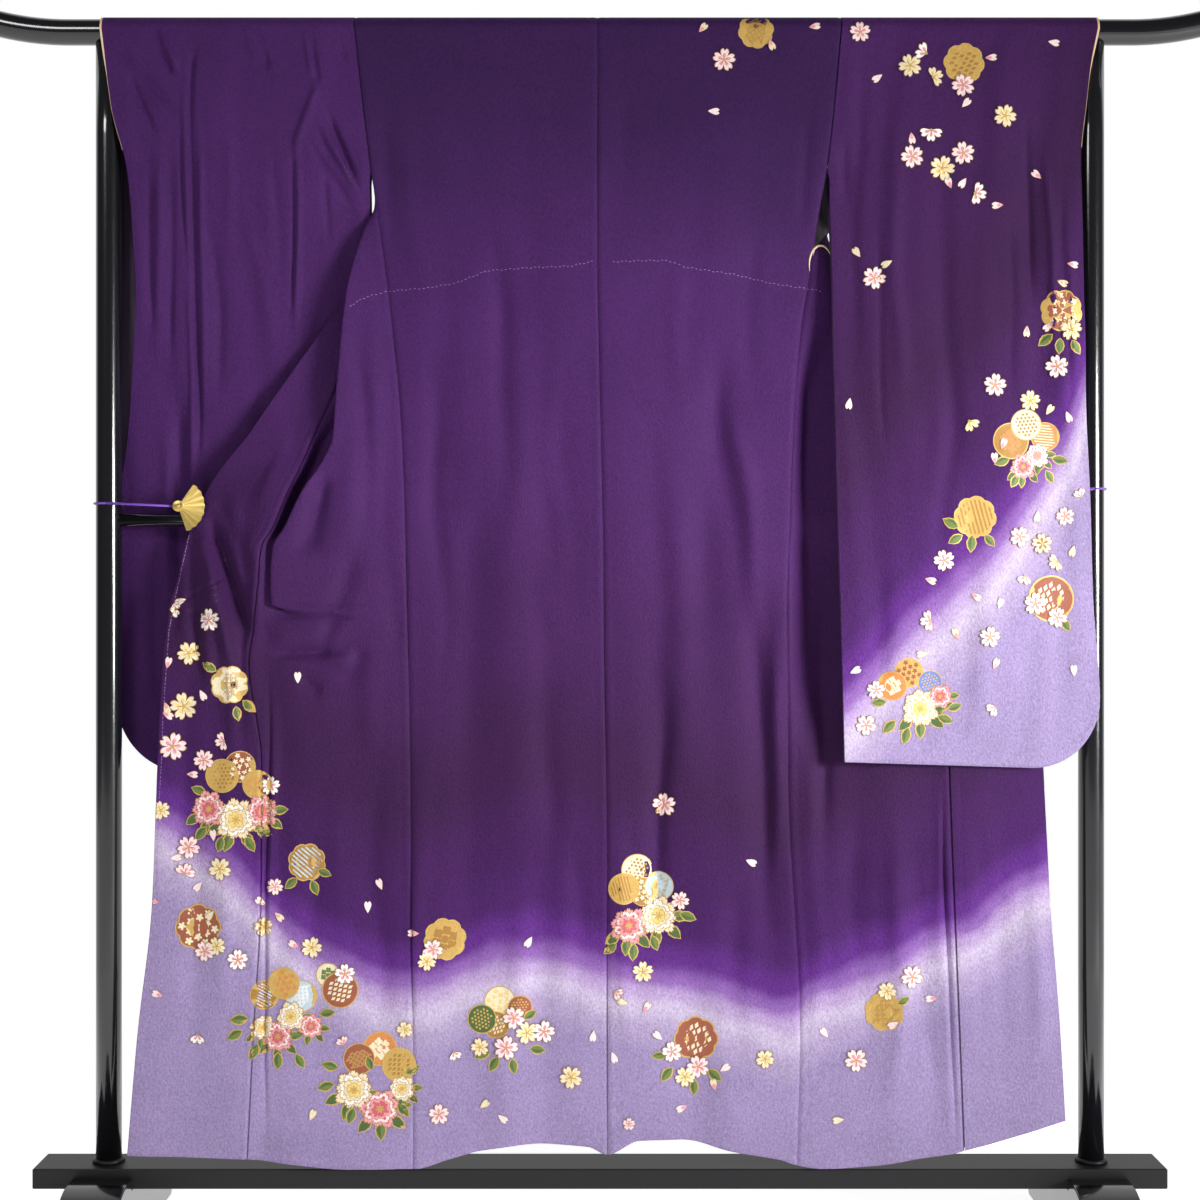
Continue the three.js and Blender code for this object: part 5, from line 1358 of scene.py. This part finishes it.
# Small maple-like sprays and leaves: across, down, length, turn in degrees.
LEAVES = (
    (1052, 338, 13, 130), (1072, 344, 12, -150), (1060, 342, 12, 175), (1009, 462, 12, 110),
    (1018, 478, 11, 150), (1052, 462, 12, -100), (1046, 474, 11, -150), (958, 530, 13, 60),
    (962, 538, 12, 120), (972, 538, 13, 175), (985, 538, 11, -140), (1062, 622, 11, -150),
    (895, 723, 13, 135), (908, 730, 13, 165), (938, 719, 12, -110), (948, 712, 11, -70),
    (886, 704, 11, 95), (216, 668, 12, 60), (243, 698, 13, -130), (236, 704, 11, -170),
    (206, 824, 13, 140), (222, 834, 12, 165), (246, 834, 13, -150), (257, 827, 12, -110),
    (206, 790, 12, 70), (297, 876, 12, 130), (312, 878, 12, -160), (318, 868, 11, -110),
    (248, 1016, 14, 95), (242, 1028, 13, 120), (258, 1042, 13, 150), (278, 1050, 13, 180),
    (296, 1052, 12, -150), (320, 1012, 12, -80), (338, 1066, 13, 75), (334, 1082, 13, 105),
    (354, 1106, 13, 160), (398, 1102, 13, -140), (406, 1072, 12, -60), (372, 1068, 11, 20),
    (490, 1050, 13, 115), (498, 1056, 13, 150), (512, 1058, 12, -170), (530, 1048, 12, -100),
    (524, 1018, 11, -60), (680, 914, 13, -110), (616, 944, 12, 130), (634, 944, 13, 175),
    (652, 936, 12, -160), (672, 1068, 13, 140), (708, 1070, 13, -130), (694, 1080, 12, 180),
    (666, 1056, 11, 90), (898, 1006, 10, -60))
# Peonies: across, down, radius, tones from the outside in.
CREAM_PEONY = ("cream", "white", "yellow")
PINK_PEONY = ("pink", "blush", "rose")
WHITE_PEONY = ("white", "blush", "pink")
PEONIES = (
    (1023, 470, 12, PINK_PEONY), (1037, 459, 11, WHITE_PEONY), (920, 711, 17, CREAM_PEONY),
    (940, 699, 11, PINK_PEONY), (209, 806, 16, PINK_PEONY), (262, 809, 15, PINK_PEONY),
    (236, 817, 19, CREAM_PEONY), (291, 1014, 13, CREAM_PEONY), (311, 1024, 11, PINK_PEONY),
    (263, 1025, 12, CREAM_PEONY), (278, 1034, 14, PINK_PEONY), (354, 1088, 18, CREAM_PEONY),
    (402, 1087, 12, CREAM_PEONY), (380, 1107, 18, PINK_PEONY), (629, 926, 17, PINK_PEONY),
    (658, 916, 18, CREAM_PEONY))
# Blossoms that lie over the roundels and peonies: across, down, tone, radius.
UPPER_BLOSSOMS = (
    (1071, 333, "c", 11), (1035, 607, "w", 11), (1057, 621, "p", 10), (876, 692, "p", 9),
    (205, 948, "p", 10), (217, 943, "c", 9), (345, 972, "w", 10), (433, 948, "p", 10),
    (427, 960, "c", 9), (514, 1017, "p", 11), (527, 1032, "c", 11), (544, 1031, "w", 11),
    (506, 1047, "p", 12), (480, 1046, "c", 9), (680, 901, "p", 9), (672, 1052, "w", 10),
    (698, 1067, "p", 11), (685, 1077, "c", 10), (887, 993, "c", 9))
UPPER_PETALS = ((985, 61), (769, 41), (898, 1024), (1053, 326), (662, 1040), (214, 908))
# Sizes in millimetres for a pixel of the photograph, and the levels that the shapes lie on.
SMALL_PIXEL, FLOWER_PIXEL, ROUND_PIXEL, LEAF_PIXEL = 1.42, 1.45, 1.62, 1.85
PEONY_LEAF_PIXEL = 1.5
PETAL_SIZE = 11.5
LEAF_LEVEL, PEONY_LEVEL, PEONY_LEAF_LEVEL = 12, 15, 8
PETAL_LEVEL, BLOSSOM_LEVEL, UPPER_LEVEL, UPPER_PETAL_LEVEL = 20, 30, 35, 36
DEGREES_IN_RADIAN = 57.3


def turn_by_place(px, py, across, down, span):
    """A turn in radians that differs from flower to flower."""
    return (px * across + py * down) % span / DEGREES_IN_RADIAN


for n, (px, py, radius, base, pattern, second, lobes) in enumerate(ROUNDELS):
    size = radius * (SMALL_PIXEL if lobes else ROUND_PIXEL)
    turn = turn_by_place(px, py, 7, 3, 90)
    lay_roundel(at(px, py), size, turn, base, pattern, second, lobes, 3 * (n % 4))
for px, py, length, turn in LEAVES:
    lay_leaf(at(px, py), length * LEAF_PIXEL, math.radians(turn), "leaf", LEAF_LEVEL)
for px, py, radius, tones in PEONIES:
    node, point, place = at(px, py)
    angle = turn_by_place(px, py, 5, 1, 51)
    lay_peony((node, point, place), radius * SMALL_PIXEL, angle, tones, PEONY_LEVEL)
    for k, turn in enumerate((205, 250, 300, 345)):
        turn = math.radians(turn + (px * 3 + py) % 25)
        beside = place[0] + radius * math.cos(turn), place[1] + radius * math.sin(turn)
        lay_leaf((node, point, beside), radius * PEONY_LEAF_PIXEL, turn - math.pi / 2,
                 "leaf" if k % 2 else "moss", PEONY_LEAF_LEVEL + k % 2)
# flowers, size of a pixel, numbers for their turns, level
for flowers, size, across, down, span, level in (
        (BLOSSOMS, FLOWER_PIXEL, 7, 3, 72, BLOSSOM_LEVEL),
        (PART_BLOSSOMS, SMALL_PIXEL, 11, 5, 360, BLOSSOM_LEVEL),
        (UPPER_BLOSSOMS, SMALL_PIXEL, 7, 3, 72, UPPER_LEVEL)):
    for px, py, tone, radius, *petals in flowers:
        face, heart = BLOSSOM_TONES[tone]
        lay_blossom(at(px, py), radius * size, turn_by_place(px, py, across, down, span), face, heart,
                    petals[0] if petals else 5, level)
for px, py in PETALS + UPPER_PETALS:
    face, heart = "blush" if (px + py) % 3 else "cream", "pink" if px % 2 else None
    level = UPPER_PETAL_LEVEL if (px, py) in UPPER_PETALS else PETAL_LEVEL
    lay_petal(at(px, py), PETAL_SIZE * SMALL_PIXEL, turn_by_place(px, py, 13, 7, 360), face, heart, level)

# Basting: a soft running stitch that holds the tuck at the hips and the free edge of the
# left overlap; each stitch is a short length of pale silk thread lying on the crepe.
TONES["thread"] = paint_finish("lilac basting thread", (0.24, 0.14, 0.33))
TONE_NAMES.append("thread")
# Lines of stitches, as places across and down the photograph.
LEFT_TUCK = ((349, 305), (362, 297), (374, 293), (388, 290), (408, 288), (426, 287), (456, 282), (487, 270),
             (533, 267), (570, 266), (594, 261))
RIGHT_TUCK = ((612, 262), (640, 261), (668, 261), (686, 268), (732, 275), (772, 285), (806, 290),
              (822, 293))
OVERLAP_EDGE = ((190, 528), (183, 560), (176, 592), (169, 628), (163, 713), (162, 751), (159, 800),
                (156, 885))
STITCH = [(-1.7, 0), (-1.2, 0.42), (1.2, 0.42), (1.7, 0), (1.2, -0.42), (-1.2, -0.42)]
STITCH_LEVEL = 4
for line, pitch in ((LEFT_TUCK, 4.3), (RIGHT_TUCK, 4.3), (OVERLAP_EDGE, 3.4)):
    marks = []
    for start, stop in zip(line, line[1:]):
        count = max(1, round(math.hypot(stop[0] - start[0], stop[1] - start[1]) / pitch))
        for n in range(count):
            marks.append((start, stop, (n + 0.5) / count))
    for n, (start, stop, share) in enumerate(marks):
        px = start[0] + (stop[0] - start[0]) * share
        py = start[1] + (stop[1] - start[1]) * share + 0.5 * math.sin(1.9 * n)
        spot = at(px, py)
        if spot[0] is not None:
            slant = math.atan2(start[1] - stop[1], stop[0] - start[0]) + 0.12 * math.sin(2.3 * n)
            lay_shape(spot, STITCH, slant, "thread", STITCH_LEVEL)

for node, (points, faces, tones) in painted.items():
    art = make_piece(f"{node}_painted_flowers", points, faces)
    for name in TONE_NAMES:
        art.data.materials.append(TONES[name])
    art.data.polygons.foreach_set("material_index", tones)
    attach(art, "root")


# Clips and cords: a gilt fan clip on a silk cord holds each front edge out to its post.
# The fan is stamped and folded sheet brass; the cord is a round braid tied to the pivot.
def gilt_finish(name, colour, rough):
    material, nodes, links, shader = new_material(name)
    set_inputs(shader, Base_Color=(*colour, 1), Metallic=0.9)
    speck = add_node(nodes, "TexNoise", Scale=700.0)
    spread = add_node(nodes, "MapRange", To_Min=rough, To_Max=rough + 0.2)
    links.new(speck.outputs["Fac"], spread.inputs["Value"])
    links.new(spread.outputs["Result"], shader.inputs["Roughness"])
    add_relief(nodes, links, shader, speck.outputs["Fac"], 0.25, 0.0003)
    return material


def merged(name, parts):
    """One object from several, which are taken away."""
    work = bmesh.new()
    for part in parts:
        work.from_mesh(part.data)
    mesh = bpy.data.meshes.new(name)
    work.to_mesh(mesh)
    work.free()
    for part in parts:
        bpy.data.objects.remove(part)
    return add_object(name, mesh)


GILT = gilt_finish("gilt brass", (0.64, 0.46, 0.14), 0.25)
CORD = lining_finish("violet silk cord", (0.16, 0.05, 0.42))
FAN_REACH, FAN_INNER, FAN_RIBS, FAN_DEPTH = 39.0, 7.0, 8, -25.5
FAN_START, FAN_SPREAD = -1.24, 2.19
FAN_THICKNESS = 1.2
FOLD_STEPS = 6
JAW_LENGTH = 46
CORD_RADIUS = 1.6
LOOP_RADIUS = ROD_RADIUS + 1.9
# depth behind or before the sheet, and radius, along the pivot's domed pin and along the hub
PIN_PROFILE = ((-2.1, 0.8), (-1.9, 2.0), (-1.2, 3.2), (13.8, 3.2))
HUB_PROFILE = ((-0.4, 7.4), (0.0, 8.0), (1.4, 8.0))
# side, pivot x, pivot height, height of the loop round the post
CLIPS = (("left", -606.0, 1063.0, 1067.5), ("right", 622.0, 1070.0, 1088.5))
for side, pivot_x, pivot_z, loop_z in CLIPS:
    inward = 1 if side == "left" else -1
    folds = FAN_RIBS * FOLD_STEPS
    points, faces = [], []
    for i in range(folds + 1):
        a = FAN_START + FAN_SPREAD * i / folds
        wave = math.cos(2 * math.pi * i / FOLD_STEPS)
        fold = -1.1 * (0.5 - 0.5 * wave)
        tip = FAN_REACH - 1.4 * (0.5 + 0.5 * wave)
        for r, share in ((FAN_INNER, 0.3), (14, 0.6), (24, 0.9), (tip, 1.0)):
            x, z = pivot_x + inward * r * math.cos(a), pivot_z + r * math.sin(a)
            for y in (FAN_DEPTH + fold * share, FAN_DEPTH + fold * share + FAN_THICKNESS):
                points.append((x * MM, y * MM, z * MM))
    for i in range(folds):
        for k in range(3):
            a, b = i * 8 + k * 2, (i + 1) * 8 + k * 2
            faces += [(a, a + 2, b + 2, b), (a + 1, b + 1, b + 3, a + 3)]
        a, b = i * 8, (i + 1) * 8
        faces += [(a + 6, a + 7, b + 7, b + 6), (a, b, b + 1, a + 1)]
    for k in range(3):
        for a in (k * 2, folds * 8 + k * 2):
            faces.append((a, a + 1, a + 3, a + 2))
    leaf = make_piece(f"{side}_gilt_fan", points, faces, smooth=False)
    straighten_normals(leaf)
    parts = [leaf]
    for name, profile, sides in (("fan_pivot", PIN_PROFILE, 32), ("fan_hub", HUB_PROFILE, 40)):
        stations = [((pivot_x, FAN_DEPTH + y, pivot_z), r, (0, 1, 0)) for y, r in profile]
        parts.append(swept_bar(f"{side}_{name}", stations, sides))
    jaw_ends = (0, JAW_LENGTH) if inward > 0 else (-JAW_LENGTH, 0)
    corners = []
    for x in jaw_ends:
        for y in (-0.8, 0.8):
            for z in (-5, 5):
                corners.append(((pivot_x + x) * MM, (FAN_DEPTH + 13 + y) * MM, (pivot_z + z) * MM))
    jaw_faces = [(0, 1, 3, 2), (4, 6, 7, 5), (0, 4, 5, 1), (2, 3, 7, 6), (0, 2, 6, 4), (1, 5, 7, 3)]
    parts.append(make_piece(f"{side}_jaw", corners, jaw_faces, False))
    finish_rigid(merged(f"{side}_gilt_fan_clip", parts), GILT, [f"{side}_fan_clip"])

    # Cord: a ring round the post and a straight run to the pivot, with a small knot.
    post_x = -inward * POST_PLACE
    along = (inward, 0, 0)
    stations = []
    for i in range(49):
        a = 2 * math.pi * i / 48
        stations.append(((post_x + LOOP_RADIUS * math.sin(a), -LOOP_RADIUS * math.cos(a), loop_z),
                         CORD_RADIUS, (math.cos(a), math.sin(a), 0)))
    loop = swept_bar(f"{side}_loop", stations, 16)
    tied = (pivot_x - inward * 5.9, -LOOP_RADIUS + 0.4, pivot_z)
    run = swept_bar(f"{side}_run", [((post_x, -LOOP_RADIUS, loop_z), CORD_RADIUS, along),
                                    (tied, CORD_RADIUS, along)], 16)
    stations = []
    for k in range(11):
        a = math.pi * k / 10
        stations.append(((tied[0] + 2.4 * math.cos(a), *tied[1:]), max(0.2, 2.4 * math.sin(a)), (1, 0, 0)))
    knot = swept_bar(f"{side}_knot", stations, 20)
    finish_rigid(merged(f"{side}_silk_cord", (loop, run, knot)), CORD, [f"{side}_cord"])


# Setting: a plain pale floor, white surroundings and soft studio light, with the camera level
# with the middle of the garment, as the photograph was taken.
floor = make_piece("pale_floor", [(-6, -6, 0), (6, -6, 0), (6, 9, 0), (-6, 9, 0)], [(0, 1, 2, 3)])
pale, _, _, pale_shader = new_material("pale floor")
set_inputs(pale_shader, Base_Color=(0.93, 0.93, 0.93, 1), Roughness=0.9, Emission_Color=(1, 1, 1, 1),
           Emission_Strength=0.90)
floor.data.materials.append(pale)

world = bpy.data.worlds.new("white studio")
bpy.context.scene.world = world
world.use_nodes = True
sky_nodes, sky_links = world.node_tree.nodes, world.node_tree.links
sky = sky_nodes["Background"]
set_inputs(sky, Color=(1, 1, 1, 1), Strength=0.080)
seen = add_node(sky_nodes, "Background", Color=(1, 1, 1, 1), Strength=1.0)
rays = add_node(sky_nodes, "LightPath")
blend = add_node(sky_nodes, "MixShader")
# polished pieces see the white wall behind the stand, and a darker room in front of it
toward = add_node(sky_nodes, "TexCoord")
parts = add_node(sky_nodes, "SeparateXYZ")
behind = add_node(sky_nodes, "MapRange", From_Min=0.05, From_Max=0.45)
mirrored_wall = add_node(sky_nodes, "Math", "MULTIPLY")
bright = add_node(sky_nodes, "Math", "MAXIMUM")
sky_links.new(toward.outputs["Generated"], parts.inputs["Vector"])
sky_links.new(parts.outputs["Y"], behind.inputs["Value"])
sky_links.new(behind.outputs["Result"], mirrored_wall.inputs[0])
sky_links.new(rays.outputs["Is Glossy Ray"], mirrored_wall.inputs[1])
sky_links.new(rays.outputs["Is Camera Ray"], bright.inputs[0])
sky_links.new(mirrored_wall.outputs["Value"], bright.inputs[1])
sky_links.new(bright.outputs["Value"], blend.inputs["Fac"])
sky_links.new(sky.outputs["Background"], blend.inputs[1])
sky_links.new(seen.outputs["Background"], blend.inputs[2])
sky_links.new(blend.outputs["Shader"], sky_nodes["World Output"].inputs["Surface"])


def soft_light(name, place, aim, size, power, spread):
    lamp = bpy.data.lights.new(name, "AREA")
    lamp.shape = "RECTANGLE"
    lamp.size, lamp.size_y = size
    lamp.energy = power
    lamp.spread = math.radians(spread)
    holder = add_object(name, lamp)
    holder.location = place
    holder.rotation_euler = (Vector(aim) - Vector(place)).to_track_quat("-Z", "Y").to_euler()


soft_light("right soft box", (3.3, -2.35, 1.05), (0, 0, 0.66), (0.8, 0.8), 41, 100)
soft_light("high left soft box", (-1.7, -2.6, 2.7), (0, 0, 0.50), (0.9, 0.7), 10, 100)
soft_light("middle soft box", (2.2, -2.1, 1.3), (0.10, 0, 0.96), (0.5, 0.5), 3.6, 36)

CAMERA_DISTANCE = 2.6
FRAME_WIDTH = 1.74
camera_data = bpy.data.cameras.new("front view")
camera_data.sensor_width = 36.0
camera_data.lens = 36.0 * CAMERA_DISTANCE / FRAME_WIDTH
camera = add_object("front view", camera_data)
camera.location = (0, -CAMERA_DISTANCE, 0.928)
camera.rotation_euler = (math.pi / 2, 0, 0)
bpy.context.scene.camera = camera
bpy.context.scene.view_settings.view_transform = "Standard"
